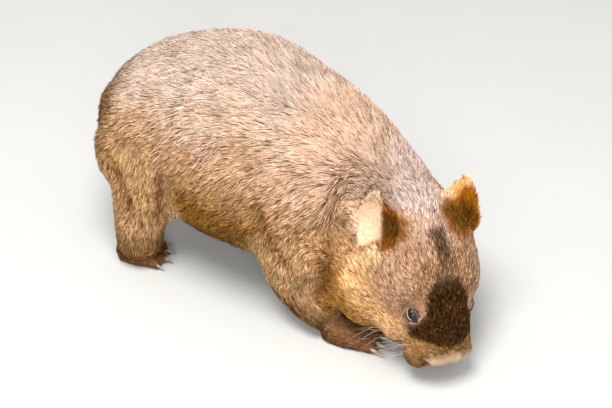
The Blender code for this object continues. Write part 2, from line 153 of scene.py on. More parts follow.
BACK_SHEEN_GREY = srgb(0.755, 0.67, 0.61)
SIDE_TAN = srgb(0.745, 0.59, 0.44)
FLANK_SHADE_BROWN = srgb(0.57, 0.39, 0.10)
BELLY_SHADE_GOLD = srgb(0.38, 0.245, 0.06)
RUMP_SHADE = srgb(0.43, 0.295, 0.11)
SHOULDER_HIGHLIGHT = srgb(0.83, 0.69, 0.58)
LEG_BROWN = srgb(0.74, 0.59, 0.42)
FOOT_DARK = srgb(0.48, 0.33, 0.21)
CHEEK_GOLD = srgb(0.86, 0.67, 0.46)
CHEEK_LOW = srgb(0.65, 0.47, 0.22)
CROWN_TAN = srgb(0.705, 0.56, 0.44)
NAPE_GREY = srgb(0.81, 0.725, 0.69)
FOREHEAD = srgb(0.77, 0.595, 0.445)
STREAK_DARK = srgb(0.24, 0.15, 0.06)
BRIDGE_DARK = srgb(0.115, 0.062, 0.012)
LIP_TAN = srgb(0.58, 0.43, 0.25)
LIP_DARK = srgb(0.36, 0.26, 0.13)
EYE_RING = srgb(0.80, 0.65, 0.54)
LID_SKIN = srgb(0.64, 0.49, 0.395)
LID_DARK = srgb(0.14, 0.08, 0.055)
LID_WET_HIGHLIGHT = srgb(0.80, 0.68, 0.60)
EAR_BACK = srgb(0.82, 0.58, 0.28)
EAR_FRINGE = srgb(0.93, 0.76, 0.57)
EAR_INSIDE = srgb(0.985, 0.84, 0.72)
EAR_BAND = srgb(0.58, 0.34, 0.05)
EAR_TUFT = srgb(0.40, 0.255, 0.06)
NOSE_TAN = srgb(0.92, 0.80, 0.64)
NOSE_BROWN = srgb(0.58, 0.42, 0.24)
NOSE_HOLLOW_SHADE = srgb(0.10, 0.06, 0.045)
FLECK_GOLD = srgb(0.50, 0.32, 0.08)
STRAND_DARK = srgb(0.27, 0.17, 0.05)
# Painted shade in the folds of the skin: the colour of the dark hairs there, and what is left of the others
FOLD_SHADE_BROWN = srgb(0.36, 0.205, 0.05)
FOLD_SHADE_TINT = np.array([0.36, 0.22, 0.08])  # painted shade: what is left of the colours in a fold


# Numbers and places


def unit(rows):
    rows = np.asarray(rows, float)
    return rows / np.maximum(np.linalg.norm(rows, axis=-1, keepdims=True), 1e-12)


def lengths(rows):
    return np.linalg.norm(rows, axis=-1)


def smooth(low, high, value):
    """0 below low and 1 above high, with a soft step between. high may be the smaller one."""
    share = np.clip((value - low) / (high - low), 0, 1)
    return share * share * (3 - 2 * share)


def between(a, b, share):
    return a + (b - a) * share


def mix(rows, other, share):
    """Rows drawn towards others, each by its own share."""
    return between(rows, np.asarray(other), np.asarray(share)[..., None])


def layered(count, colour, *layers):
    """Rows of a colour under layers, each of them a colour and its shares."""
    rows = np.ones((count, 1)) * colour
    for upper, share in layers:
        rows = mix(rows, upper, share)
    return rows


def lattice(cells, seed):
    """A number from -1 to 1 for each cell."""
    x, y, z = (cells[..., i].astype(np.uint64) for i in range(3))
    mixed = x * np.uint64(73856093) ^ y * np.uint64(19349663) ^ z * np.uint64(83492791)
    mixed = (mixed ^ np.uint64(seed * 2654435761 % 2**32)) * np.uint64(6364136223846793005)
    mixed ^= mixed >> np.uint64(29)
    mixed *= np.uint64(2685821657736338717)
    return (mixed >> np.uint64(40)).astype(float) / 2**23 - 1


def noise(points, size, seed=1):
    """Smooth noise from -1 to 1 whose lumps are about the given size."""
    at = np.asarray(points) / size + 1000
    cell = np.floor(at).astype(np.int64)
    part = at - cell
    part = part * part * (3 - 2 * part)
    total = 0
    for corner in np.ndindex(2, 2, 2):
        share = np.prod(np.where(corner, part, 1 - part), axis=-1)
        total = total + share * lattice(cell + np.array(corner), seed)
    return total


def centre(node):
    low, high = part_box(node)
    return (np.array(low) + np.array(high)) / 2


def head_frame():
    """The turn and the origin of the head's frame, from the eyes and the nose."""
    left, right, nose = centre("left_eye"), centre("right_eye"), centre("nose")
    across = unit(left - right)
    middle = (left + right) / 2
    drop = NOSE_MIDDLE - EYES_MIDDLE
    ahead = nose - middle
    ahead = unit(ahead - across * ahead.dot(across))
    above = np.cross(ahead, across)
    length = np.hypot(drop[1], drop[2])
    backward = ahead * (drop[1] / length) + above * (drop[2] / length)
    upward = np.cross(across, backward)
    turn = np.stack([across, backward, upward], axis=1)
    return turn, middle - turn @ EYES_MIDDLE


def to_head(points):
    return (np.asarray(points) - HEAD_AT) @ HEAD_TURN


def from_head(points):
    return np.asarray(points) @ HEAD_TURN.T + HEAD_AT


def onto_left(head):
    """Places in the head's frame, with those on its right mirrored onto its left."""
    return np.abs(head[:, :1]) * [1, 0, 0] + head * [0, 1, 1]


def by_side(values, head):
    """The right one of two values where a place in the head's frame is on the right, else the left one."""
    return np.where(head[:, :1] < 0, values["right"], values["left"])


HEAD_TURN, HEAD_AT = head_frame()
EYE_AT = np.array([to_head(centre("left_eye"))[0], *EYES_MIDDLE[1:]])
EYE_RADIUS = float(np.ptp(np.array(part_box("left_eye")), axis=0).mean() / 2)


# Meshes


def read(items, key, width, kind):
    """What all items of a mesh hold under the key, in rows of the width."""
    values = np.empty(len(items) * width, kind)
    items.foreach_get(key, values)
    return values.reshape(-1, width)


def write(items, key, rows):
    items.foreach_set(key, np.asarray(rows, np.float32).ravel())


def arrays(mesh):
    """Places and normals of the vertices, and the triangles, of a mesh."""
    mesh.calc_loop_triangles()
    places, normals = read(mesh.vertices, "co", 3, float), read(mesh.vertex_normals, "vector", 3, float)
    return places, normals, read(mesh.loop_triangles, "vertices", 3, np.int32)


def new_mesh(name, places, faces):
    """A mesh from rows of places and lists of equal faces, each an array of rows of corners."""
    mesh = bpy.data.meshes.new(name)
    faces = [np.asarray(rows, np.int32) for rows in faces if len(rows)]
    corners = np.concatenate([rows.ravel() for rows in faces])
    sizes = np.concatenate([np.full(len(rows), rows.shape[1], np.int32) for rows in faces])
    mesh.vertices.add(len(places))
    write(mesh.vertices, "co", places)
    mesh.loops.add(len(corners))
    mesh.loops.foreach_set("vertex_index", corners)
    mesh.polygons.add(len(sizes))
    mesh.polygons.foreach_set("loop_start", np.concatenate([[0], np.cumsum(sizes)[:-1]]).astype(np.int32))
    mesh.update(calc_edges=True)
    mesh.shade_smooth()
    return mesh


def move_to(mesh, places):
    write(mesh.vertices, "co", places)
    mesh.update()


def edit(mesh, *steps):
    """Runs the steps on the mesh, opened for editing."""
    bm = bmesh.new()
    bm.from_mesh(mesh)
    for step in steps:
        step(bm)
    bm.to_mesh(mesh)
    bm.free()
    mesh.update()


def face_outward(bm):
    bmesh.ops.recalc_face_normals(bm, faces=bm.faces)


def grid_quads(rows, columns):
    """Faces between neighbouring points of a grid whose last column meets its first."""
    index = np.arange(rows * columns).reshape(rows, columns)
    after = np.roll(index, -1, axis=1)
    return np.stack([index[:-1], index[1:], after[1:], after[:-1]], axis=-1)


def paint(mesh, colours):
    layer = mesh.color_attributes.new(name="markings_and_painted_light", type="FLOAT_COLOR", domain="POINT")
    write(layer.data, "color", np.insert(colours, 3, 1.0, axis=1))


def link(name, data):
    obj = bpy.data.objects.new(name, data)
    bpy.context.scene.collection.objects.link(obj)
    return obj


def add_piece(name, mesh, material, slot, stands_for=()):
    obj = link(name, mesh)
    mesh.materials.append(material)
    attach(obj, "root")
    if stands_for:
        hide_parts(*stands_for)


# Markings and painted light: where each kind of coat grows, which way it lies and its colour, with painted
# shade, sheen and highlights


def in_folds(points):
    """How deep in a fold each point lies, from 0 to 1, which sets its painted shade, and how far the fold
    pushes it in.
    """
    share = np.zeros(len(points))
    push = np.zeros(len(points))
    mirrored = np.abs(points[:, :1]) * [-1, 0, 0] + points * [0, 1, 1]
    for number, (width, deep, path) in enumerate(FOLDS):
        from_middle = mirrored if number else points
        near = np.full(len(points), np.inf)
        for a, b in zip(np.array(path), np.array(path)[1:]):
            along = np.clip((from_middle - a) @ (b - a) / ((b - a) @ (b - a)), 0, 1)
            near = np.minimum(near, lengths(from_middle - a - along[:, None] * (b - a)))
        here = np.exp(-((near / width) ** 2))
        share = np.maximum(share, here)
        push = np.maximum(push, here * deep)
    return share, push


def lid_opening(angle):
    """How far from the eye's axis the lids end, round the opening, from the front corner."""
    long_part = (np.abs(np.cos(angle)) / LID_HALF_LENGTH) ** LID_POWER
    return (long_part + (np.abs(np.sin(angle)) / LID_HALF_HEIGHT) ** LID_POWER) ** (-1 / LID_POWER)


def ear_place(head):
    """For places in the head's frame, their height and their way across in that of the ear on their
    side, and the ear's directions: up, out of its cup and back. Across runs from the front rim at -1 to
    the rear one at 1."""
    flip = by_side({"right": (-1.0, 1.0, 1.0), "left": (1.0, 1.0, 1.0)}, head)
    base = by_side(EAR_BASE, head)
    axis = by_side(EAR_TIP, head) - base
    upward = unit(axis)
    opens = by_side(EAR_OPENS, head)
    opens = unit(opens - upward * np.sum(opens * upward, axis=1)[:, None])
    across = np.cross(upward, opens)
    rel = head * flip - base
    height = np.sum(rel * upward, axis=1) / lengths(axis)
    ways = [(way * flip) @ HEAD_TURN.T for way in (upward, opens, across)]
    return height, np.sum(rel * across, axis=1) / EAR_HALF_WIDTH, ways


class Places:
    """What kind of place each point of the skin is. Most values are shares from 0 to 1."""

    def __init__(self, points, normals, shares):
        self.points, self.normals = points, normals
        self.ear, self.on_head, self.leg, self.foot = (shares[k] for k in ("ear", "head", "leg", "foot"))
        self.head = to_head(points)
        self.muzzle = self.on_head * smooth(-0.118, -0.160, self.head[:, 1])
        self.face = self.on_head * smooth(-0.02, -0.11, self.head[:, 1])
        x, y, z = points.T
        self.tail = smooth(0.016, 0.011, np.abs(x)) * smooth(0.330, 0.342, y) * smooth(0.190, 0.176, z)
        # the rear of the body low down, which painted shade darkens
        self.shaded_rump = smooth(0.23, 0.31, y) * smooth(0.37, 0.27, z)
        # painted shade along the folds of the skin
        self.fold = in_folds(points)[0]
        self.from_pad = lengths((self.head - NOSE_MIDDLE) / (NOSE_SIZE * [1, 1.3, 1]))
        self.patch = 0.6 * noise(points, 0.024, 5) + 0.5 * noise(points, 0.012, 6)
        self.find_eye(onto_left(self.head) - EYE_AT)
        self.find_ear(onto_left(self.head))
        self.find_marks(0.004 * self.patch)

    def find_eye(self, rel):
        long_side, upper = unit(EYE_LONG_SIDE), unit(np.cross(EYE_LONG_SIDE, EYE_LOOKS))
        self.from_eye = lengths(rel)
        self.by_eye = smooth(0.024, 0.017, self.from_eye)
        self.eye_front, self.eye_above = unit(rel) @ long_side, unit(rel) @ upper
        along, high = rel @ long_side, rel @ upper
        past_lids = np.hypot(along, high) - lid_opening(np.arctan2(high, along))
        bare_width = 0.0032 + 0.0048 * smooth(-0.3, 0.6, self.eye_front + 0.3 * self.eye_above)
        self.near_lids = (past_lids < bare_width) & (self.from_eye < 0.024)

    def find_ear(self, mirrored):
        self.ear_up, self.ear_across, self.ear_ways = ear_place(self.head)
        self.cupped = self.ear * smooth(0.0, 0.45, np.sum(self.normals * self.ear_ways[1], axis=1))
        to_rim = np.maximum(np.abs(self.ear_across), self.ear_up)
        self.in_ear = self.cupped * smooth(0.92, 0.78, to_rim)
        self.ear_rim = self.ear * smooth(0.75, 0.95, to_rim)
        middle = (by_side(EAR_BASE, self.head) + by_side(EAR_TIP, self.head)) / 2
        self.by_ear = 0.9 * smooth(0.075, 0.050, lengths(mirrored - middle))
        from_tuft = (mirrored - by_side(EAR_TUFT_AT, self.head)) / EAR_TUFT_SIZE
        self.from_tuft = lengths(from_tuft) + 0.25 * noise(self.points, 0.010, 8)
        self.before_ear = self.on_head * smooth(1.3, 0.8, self.from_tuft)
        self.from_pale = lengths((mirrored - EAR_PALE_AT) / EAR_TUFT_SIZE)

    def find_marks(self, ragged):
        """The crown's streak, the dark bridge of the nose and the mixed hairs of the brow, with edges
        that the ragged lengths move."""
        hx, hy, hz = self.head.T
        wide = np.abs(hx)
        streak = smooth(0.021, 0.006, np.abs(hx - 0.005) + ragged)
        streak = streak * smooth(-0.004, -0.024, hy + ragged) * smooth(-0.078, -0.060, hy + ragged)
        edge = np.interp(-hy, *np.transpose(BRIDGE_WIDTH))
        bridge = smooth(edge + 0.006, edge - 0.005, wide + ragged) * smooth(-0.050, -0.104, hy + 2 * ragged)
        end = np.interp(wide, *np.transpose(BRIDGE_END))
        bridge = bridge * smooth(end + 0.004, end - 0.003, -hy + 0.5 * ragged) * smooth(-0.016, -0.002, hz)
        above = smooth(-0.01, 0.03, hz)
        brow = smooth(0.068, 0.034, wide) * smooth(-0.022, -0.075, hy + ragged) * above
        middle = smooth(0.034, 0.014, np.abs(hx - 0.006) + ragged) * smooth(-0.048, -0.070, hy)
        brow = np.maximum(0.62 * brow, middle * above)
        self.streak, self.bridge, self.brow = (mark * self.on_head for mark in (streak, bridge, brow))

    def depth(self):
        """How far the skin lies inside the solids."""
        deep = np.full(len(self.points), DEPTH)
        for kind, other in DEPTHS.items():
            deep = between(deep, other, getattr(self, kind))
        deep = between(deep, 0.0012, smooth(1.40, 1.05, self.from_pad))
        deep = deep + 0.0022 * smooth(0.96, 0.91, self.from_pad)
        sole = smooth(-0.5, -0.85, self.normals[:, 2]) * smooth(0.006, 0.003, self.points[:, 2])
        return deep * (1 - sole)

    def tuft_sizes(self):
        """Length, width and how many layers of tufts cover each place."""
        size = np.tile(TUFT, (len(self.points), 1))
        for kind, other in TUFTS.items():
            size = mix(size, other, getattr(self, kind))
        return size

    def contrast(self):
        """How strongly light and dark hairs differ: least on the back, most low on the flanks."""
        body = 0.42 + 0.70 * smooth(0.9, 0.1, self.normals[:, 2])
        strong = between(body, 0.95 + 0.35 * self.bridge, self.on_head)
        return strong * (1 - 0.75 * self.in_ear) * (1 - 0.5 * smooth(0.026, 0.020, self.from_eye))

    def loft(self):
        """How much further than elsewhere the tufts stand out: before the ears and on their rims."""
        return 0.006 * smooth(1.3, 0.7, self.from_tuft) * self.on_head + 0.003 * self.ear_rim

    def dark_hairs(self):
        """The share of dark hairs among the others at each place, partly painted shade, and the dark ones'
        colour.
        """
        level = smooth(0.9, 0.2, self.normals[:, 2])
        patch = noise(self.points, 0.018, 9)
        low = smooth(0.26, 0.15, self.points[:, 2] + 0.02 * patch) * level
        # Painted shade: more dark hairs on the sides, low on the flanks and on the rump
        share = 0.05 + 0.15 * level + 0.38 * low + 0.24 * self.shaded_rump
        share = share * (1 - 0.45 * self.leg) * (1 + 0.5 * patch)
        # Painted shade: the folds of the skin are mostly dark hairs
        share = np.maximum(share, 0.80 * self.fold**0.6)
        head = np.maximum.reduce([0.13 + 0.60 * self.brow, 0.85 * self.streak, self.bridge])
        head = head * smooth(0.019, 0.026, self.from_eye)
        dark_marks = np.maximum(self.bridge, self.streak)
        colour = layered(len(level), STRAND_DARK, (FOLD_SHADE_BROWN, self.fold), (BRIDGE_DARK, dark_marks))
        return between(share, head, self.on_head) * (1 - self.ear), colour

    def lie(self):
        """The way that the coat lies, along the skin."""
        x, y, z = self.points.T
        none = 0 * x
        up = self.normals[:, 2]
        out = np.sign(x) * smooth(0.0, 0.06, np.abs(x))
        side = smooth(0.9, 0.15, np.abs(up))
        way = np.stack([0.22 * out * smooth(0, 0.8, up), 1 - 0.30 * side, -0.72 * side], axis=1)
        down = np.stack([0.05 * out, 0.18 + none, none - 1], axis=1)
        forearm = smooth(0.02, -0.06, y) * smooth(0.10, 0.06, z)
        down = mix(down, [0, -0.75, -0.45], forearm)
        way = mix(unit(way), unit(down), self.leg)
        way = mix(way, [0, -1, -0.3], self.foot * smooth(0.05, 0.03, z))
        from_nose = unit(self.head - (MUZZLE_TIP + [0, 0.006, 0]))
        way = mix(way, unit(from_nose + [0, 0.35, 0]) @ HEAD_TURN.T, self.on_head)
        upward, _, backward = self.ear_ways
        lean = np.clip(self.ear_across, -1, 1)[:, None]
        way = mix(way, unit(upward + 0.45 * lean * backward), self.ear)
        flat = way - self.normals * np.sum(way * self.normals, axis=1)[:, None]
        return unit(flat + 1e-6 * np.array([0, 1, 0]))

    def colours(self):
        """The markings with their painted shade, sheen and highlight, as linear colours."""
        y, z = self.points[:, 1], self.points[:, 2]
        up = self.normals[:, 2]
        broad = noise(self.points, 0.075, 3) + 0.5 * noise(self.points, 0.03, 4)
        shade = layered(
            len(z),
            SIDE_TAN,
            # painted sheen: the coat is paler and greyer where it faces up
            (BACK_SHEEN_GREY, smooth(0.20, 0.85, up + 0.15 * broad)),
            # partly the coat's browner, golden hue and partly painted shade: darker low on the flanks and
            # under the belly
            (FLANK_SHADE_BROWN, smooth(0.27, 0.16, z + 0.02 * broad) * smooth(0.6, 0.1, up)),
            (BELLY_SHADE_GOLD, smooth(0.18, 0.10, z + 0.01 * broad) * smooth(0.35, -0.2, up)),
            # painted shade on the rump's rear side
            (RUMP_SHADE, 0.95 * self.shaded_rump),
            (SIDE_TAN, self.tail),
            # painted highlight: a pale band down the upper shoulder
            (SHOULDER_HIGHLIGHT, 0.7 * smooth(0.09, 0.02, np.abs(y + 0.10)) * smooth(-0.1, 0.5, up)),
            (LEG_BROWN, 0.8 * self.leg),
            # partly golden-brown hue, partly painted shade: the legs darken near the floor
            (BELLY_SHADE_GOLD, 0.7 * self.leg * smooth(0.10, 0.05, z)),
            (FOOT_DARK, self.foot * smooth(0.046, 0.012, z + 0.008 * self.patch)),
        )
        shade = mix(shade * (1 + 0.26 * self.patch)[:, None], self.head_colours(broad), self.on_head)
        nape = smooth(0.045, 0.02, np.abs(self.head[:, 0])) * smooth(0.2, 0.7, up)
        nape = nape * smooth(0.0, 0.03, self.head[:, 1]) * smooth(0.16, 0.10, self.head[:, 1])
        shade = self.ear_colours(mix(shade, NAPE_GREY, 0.7 * nape))
        # Painted shade: the colours darken along the folds of the skin, but not on the face
        return mix(shade, FOLD_SHADE_TINT * shade, 0.9 * self.fold * (1 - self.face))

    def head_colours(self, broad):
        hx, hy, hz = self.head.T
        ragged = 0.004 * self.patch
        crown = smooth(0.045, 0.015, np.abs(hx)) * smooth(-0.06, 0.0, hy)
        shade = layered(
            len(hx),
            CHEEK_GOLD,
            (CROWN_TAN, smooth(-0.03, 0.03, hz + 0.010 * broad)),
            (CHEEK_LOW, smooth(-0.028, -0.060, hz)),
            (NAPE_GREY, 0.3 * crown),
            (FOREHEAD, 0.9 * np.minimum(1, 1.3 * self.brow)),
            (STREAK_DARK, 0.5 * self.streak),
        )
        shade = shade * (1 + 0.20 * self.patch)[:, None]
        lip = self.on_head * smooth(-0.128, -0.150, hy)
        low = smooth(0.2, -0.5, self.eye_above) * smooth(0.5, -0.2, self.eye_front)
        reach = 0.021 + 0.003 * self.eye_front - 0.005 * low
        ring = smooth(reach + 0.003, reach - 0.003, self.from_eye + 0.3 * ragged)
        tear = smooth(0.016, 0.019, self.from_eye) * smooth(0.032, 0.024, self.from_eye)
        layers = (
            (LIP_TAN, lip),
            (LIP_DARK, lip * smooth(-0.020, -0.045, hz + 2 * ragged)),
            (BRIDGE_DARK, self.bridge**2),
            (EYE_RING, 0.9 * ring),
            (BRIDGE_DARK, 0.85 * tear * smooth(0.35, 0.85, self.eye_front)),
        )
        return layered(len(hx), shade, *layers)

    def ear_colours(self, shade):
        """The shade with each ear over it, and with the dark and pale tufts before the ear."""
        up, across = self.ear_up, self.ear_across
        on_left = smooth(-0.001, 0.001, self.head[:, 0])
        band = smooth(-0.25, -0.55, across) * smooth(1.05, 0.85, up)
        patch = smooth(0.08, -0.20, across) * smooth(-0.95, -0.75, across) * smooth(0.95, 0.75, up)
        fringe = smooth(0.05, 0.5, across) + 0.7 * smooth(0.7, 0.95, up)
        outer = 1 - self.cupped * smooth(-0.5, -0.1, across)
        layers = (
            (layered(len(up), EAR_BACK, (EAR_FRINGE, fringe)), self.ear),
            (EAR_INSIDE, self.cupped),
            (EAR_BAND, self.ear * between(band, patch, on_left)),
            (EAR_FRINGE, self.ear * on_left * smooth(-0.82, -0.98, across)),
            (EAR_BAND, 0.8 * smooth(1.55, 1.05, self.from_tuft) * outer),
            (EAR_TUFT, 0.9 * smooth(1.15, 0.55, self.from_tuft) * outer),
            (EAR_FRINGE, 0.7 * smooth(1.2, 0.5, self.from_pale) * (1 - self.ear)),
        )
        return layered(len(up), shade, *layers)


# Skin


def swell(bm):
    """Welds a solid's mesh and moves it outward, so that it meets its neighbours."""
    bmesh.ops.remove_doubles(bm, verts=bm.verts, dist=WELD)
    bm.normal_update()
    for vertex in bm.verts:
        vertex.co += vertex.normal * SKIN_OVERLAP


def swollen_flesh():
    """The solids of flesh and the nose in one mesh, each swollen."""
    bm = bmesh.new()
    for node in [*FLESH, "nose"]:
        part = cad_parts[node].data.copy()
        edit(part, swell)
        bm.from_mesh(part)
        bpy.data.meshes.remove(part)
    mesh = bpy.data.meshes.new("flesh")
    bm.to_mesh(mesh)
    bm.free()
    return mesh


def remeshed(mesh, grid):
    obj = link("work", mesh)
    modifier = obj.modifiers.new("melt", "REMESH")
    modifier.mode = "VOXEL"
    modifier.voxel_size = grid
    bpy.context.view_layer.update()
    graph = bpy.context.evaluated_depsgraph_get()
    done = bpy.data.meshes.new_from_object(obj.evaluated_get(graph))
    bpy.data.objects.remove(obj)
    return done


def keep_largest_body(bm):
    """Drops the small closed shells that the remesh leaves inside."""
    unseen = set(bm.verts)
    bodies = []
    while unseen:
        edge_of_body = [unseen.pop()]
        body = set(edge_of_body)
        while edge_of_body:
            near = {e.other_vert(v) for v in edge_of_body for e in v.link_edges}
            edge_of_body = list(near - body)
            body |= near
        unseen -= body
        bodies.append(body)
    bodies.sort(key=len)
    for body in bodies[:-1]:
        bmesh.ops.delete(bm, geom=list(body), context="VERTS")


def refine_face(bm):
    """Halves the grid on the muzzle and round the eyes."""
    head = to_head(np.array([v.co for v in bm.verts]))
    wanted = lengths(onto_left(head) - EYE_AT) < FINE_ROUND_EYE
    wanted = wanted | (lengths(head - MUZZLE_TIP) < FINE_ROUND_NOSE)
    bm.verts.index_update()
    edges = [e for e in bm.edges if wanted[e.verts[0].index] and wanted[e.verts[1].index]]
    bmesh.ops.subdivide_edges(bm, edges=edges, cuts=1, use_grid_fill=True)


def evened(values, edges, rounds, amount=0.5):
    """The values with each drawn towards the mean of its neighbours'."""
    one, other = edges.T
    count = len(values)
    neighbours = np.bincount(edges.ravel(), minlength=count)[:, None]
    for _ in range(rounds):
        total = np.zeros_like(values)
        for axis in range(values.shape[1]):
            total[:, axis] += np.bincount(one, values[other, axis], minlength=count)
            total[:, axis] += np.bincount(other, values[one, axis], minlength=count)
        values = values + amount * (total / neighbours - values)
    return values


# Groups of solids, and for each kind of place on the skin, the groups that it lies on and how many rounds
# of evening soften its edge
GROUPS = {
    "trunk": ["trunk", "neck", "tail"], "head": ["head", "nose"], "ear": EARS, "leg": LEGS, "foot": FEET,
}
KINDS = {
    "ear": (["ear"], 4), "head": (["head", "ear"], 40), "leg": (["leg", "foot"], 60), "foot": (["foot"], 30),
}
NEAR = 0.005  # how far outside a solid's box a point may be nearest to it


def shares_of(points, edges):
    """How much of the head, an ear, a leg or a foot each point is, from the solid nearest to it."""
    nearest = np.full(len(points), 1.0)
    label = np.full(len(points), "trunk")
    for group, nodes in GROUPS.items():
        for node in nodes:
            low, high = (np.array(corner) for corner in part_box(node))
            inside = np.all((points > low - NEAR) & (points < high + NEAR), axis=1)
            bm = bmesh.new()
            bm.from_mesh(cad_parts[node].data)
            tree = BVHTree.FromBMesh(bm)
            bm.free()
            for i in np.flatnonzero(inside):
                far = tree.find_nearest(points[i].tolist())[3]
                if far < nearest[i]:
                    nearest[i], label[i] = far, group
    shares = {}
    for kind, (groups, rounds) in KINDS.items():
        shares[kind] = evened(1.0 * np.isin(label, groups)[:, None], edges, rounds)[:, 0]
    return shares


def eye_frame(side):
    """Middle and directions of an eye: the way it looks, its long side and its upper side."""
    flip = np.array([SIDES[side], 1, 1])
    looks = HEAD_TURN @ unit(EYE_LOOKS * flip)
    long_side = HEAD_TURN @ unit(EYE_LONG_SIDE * flip)
    long_side = unit(long_side - looks * long_side.dot(looks))
    upper = np.cross(looks, long_side)
    upper = upper if upper[2] > 0 else -upper
    return centre(f"{side}_eye") - looks * EYE_SINK, looks, long_side, upper


def ball_height(out):
    """How high the eyeball, or the slope that goes on round it, is along the eye's axis."""
    edge = 0.80 * EYE_RADIUS
    inner = np.minimum(out, edge)
    return np.sqrt(EYE_RADIUS**2 - inner**2) - 0.55 * np.maximum(out - edge, 0)


def hollow_eyes(places, eyes):
    """Draws the skin close round each eyeball under the lids, and behind it inside their opening."""
    for middle, looks, long_side, upper in eyes.values():
        rel = places - middle
        along, up, high = rel @ long_side, rel @ upper, rel @ looks
        out = np.hypot(along, up)
        past = out - lid_opening(np.arctan2(up, along))
        target = ball_height(out) - EYE_GAP - EYE_POCKET * smooth(0.0008, -0.0025, past)
        pull = smooth(0.0100, 0.0035, past) * smooth(-0.012, -0.004, high)
        places = places + looks * ((target - high) * pull)[:, None]
    return places


MOUTH_WIDTH, CLEFT_WIDTH, MOUTH_DEPTH = 0.0022, 0.0018, 0.0026


def carve_mouth(places, normals):
    """The line of the mouth under the nose, and the cleft from the nose down to it."""
    hx, hy, hz = to_head(places).T
    line = -0.0400 - 0.16 * (hy + 0.180) - 0.10 * np.abs(hx)
    mouth = np.exp(-(((hz - line) / MOUTH_WIDTH) ** 2))
    mouth = mouth * smooth(-0.085, -0.110, hy) * smooth(0.046, 0.036, np.abs(hx))
    cleft = np.exp(-((hx / CLEFT_WIDTH) ** 2)) * smooth(-0.036, -0.032, -hz - 0.068)
    cleft = cleft * smooth(-0.165, -0.172, hy) * smooth(-0.042, -0.038, hz)
    return places - normals * (MOUTH_DEPTH * np.maximum(mouth, 0.7 * cleft))[:, None]


def make_skin():
    """The skin's mesh, its kinds of places, and the eyes' frames."""
    mesh = remeshed(swollen_flesh(), SKIN_GRID)
    edit(mesh, keep_largest_body, refine_face)
    places, normals, _ = arrays(mesh)
    edges = read(mesh.edges, "vertices", 2, np.int32)
    shares = shares_of(places, edges)
    kinds = Places(places, normals, shares)
    features = kinds.on_head * np.maximum(smooth(0.046, 0.030, kinds.from_eye), kinds.muzzle)
    care = np.maximum.reduce([features, kinds.foot, kinds.ear, kinds.tail])[:, None]
    places = evened(evened(places, edges, 2), edges, 14, 0.5 * (1 - care))
    move_to(mesh, places)
    places, normals, _ = arrays(mesh)
    depth = evened(Places(places, normals, shares).depth()[:, None], edges, 12)
    places = places - normals * (depth + SKIN_OVERLAP + in_folds(places)[1][:, None])
    places = evened(places, edges, 3, 0.4 * (1 - 0.7 * care))
    places[:, 2] = np.maximum(places[:, 2], 0.0)
    move_to(mesh, places)
    places, normals, _ = arrays(mesh)
    eyes = {side: eye_frame(side) for side in SIDES}
    move_to(mesh, hollow_eyes(carve_mouth(places, normals), eyes))
    places, normals, _ = arrays(mesh)
    return mesh, Places(places, normals, shares), eyes


# Materials


class Nodes:
    """A material's node tree, with short ways to add to it."""

    def __init__(self, name):
        self.material = bpy.data.materials.new(name)
        self.material.use_nodes = True
        self.tree = self.material.node_tree
        self.shader = self.tree.nodes["Principled BSDF"]
        self.place = self.add("ShaderNodeTexCoord").outputs["Object"]

    def add(self, kind, inputs=None, **settings):
        node = self.tree.nodes.new(kind)
        for key, value in settings.items():
            setattr(node, key, value)
        for key, value in (inputs or {}).items():
            self.put(node, key, value)
        return node

    def put(self, node, key, value):
        if isinstance(value, bpy.types.NodeSocket):
            self.tree.links.new(value, node.inputs[key])
        else:
            node.inputs[key].default_value = value

    def finish(self, **values):
        """The material, with these inputs of its shader."""
        for key, value in values.items():
            self.put(self.shader, key.replace("_", " "), value)
        return self.material

    def grain(self, scale, detail=3.0, rough=0.6, place=None):
        inputs = {"Scale": scale, "Detail": detail, "Roughness": rough, "Vector": place or self.place}
        return self.add("ShaderNodeTexNoise", inputs).outputs["Fac"]

    def stretch(self, low, high, source):
        """The source's range low to high, spread over 0 to 1."""
        inputs = {"Value": source, "From Min": low, "From Max": high}
        return self.add("ShaderNodeMapRange", inputs).outputs["Result"]

    def blend(self, share, a, b, how="MIX"):
        node = self.add("ShaderNodeMix", data_type="RGBA", blend_type=how)
        for place, value in ((0, share), (6, a), (7, b)):
            self.put(node, place, value)
        return node.outputs[2]

    def toned(self, colour, source, low, high, dark, light):
        """The colour times a tone, dark where the source is low and light where it is high."""
        tone = self.blend(self.stretch(low, high, source), (*dark, 1), (*light, 1))
        return self.blend(1.0, colour, tone, "MULTIPLY")

    def bump(self, height, distance, strength, **normal):
        inputs = {"Height": height, "Distance": distance, "Strength": strength, **normal}
        return self.add("ShaderNodeBump", inputs).outputs["Normal"]

    def attribute(self, name, kind):
        return self.add("ShaderNodeAttribute", attribute_name=name).outputs[kind]

    def markings_and_painted_light(self):
        return self.attribute("markings_and_painted_light", "Color")


def skin_material():
    """Undercoat and bare skin: the markings with their painted light, darkened in fine streaks and raised
    with them.
    """
    nodes = Nodes("skin")
    fine, broad = nodes.grain(420), nodes.grain(60)
    colour = nodes.toned(nodes.markings_and_painted_light(), fine, 0.35, 0.65, (0.55, 0.50, 0.45), (1.05, 1.0, 0.95))
    colour = nodes.toned(colour, broad, 0.3, 0.7, (0.82, 0.80, 0.78), (1, 1, 1))
    normal = nodes.bump(fine, 0.0012, 0.7)
    return nodes.finish(Base_Color=colour, Roughness=0.8, Normal=normal, Specular_IOR_Level=0.25)


def coat_material():
    """Hair: the markings with their painted light, which the tufts carry with dark roots and pale bands,
    varied a little.
    """
    nodes = Nodes("coat")
    fine = nodes.grain(260, 2, 0.5)
    colour = nodes.toned(nodes.markings_and_painted_light(), fine, 0.3, 0.7, (0.94, 0.92, 0.90), (1.20, 1.20, 1.20))
    return nodes.finish(Base_Color=colour, Roughness=0.6, Specular_IOR_Level=0.10)


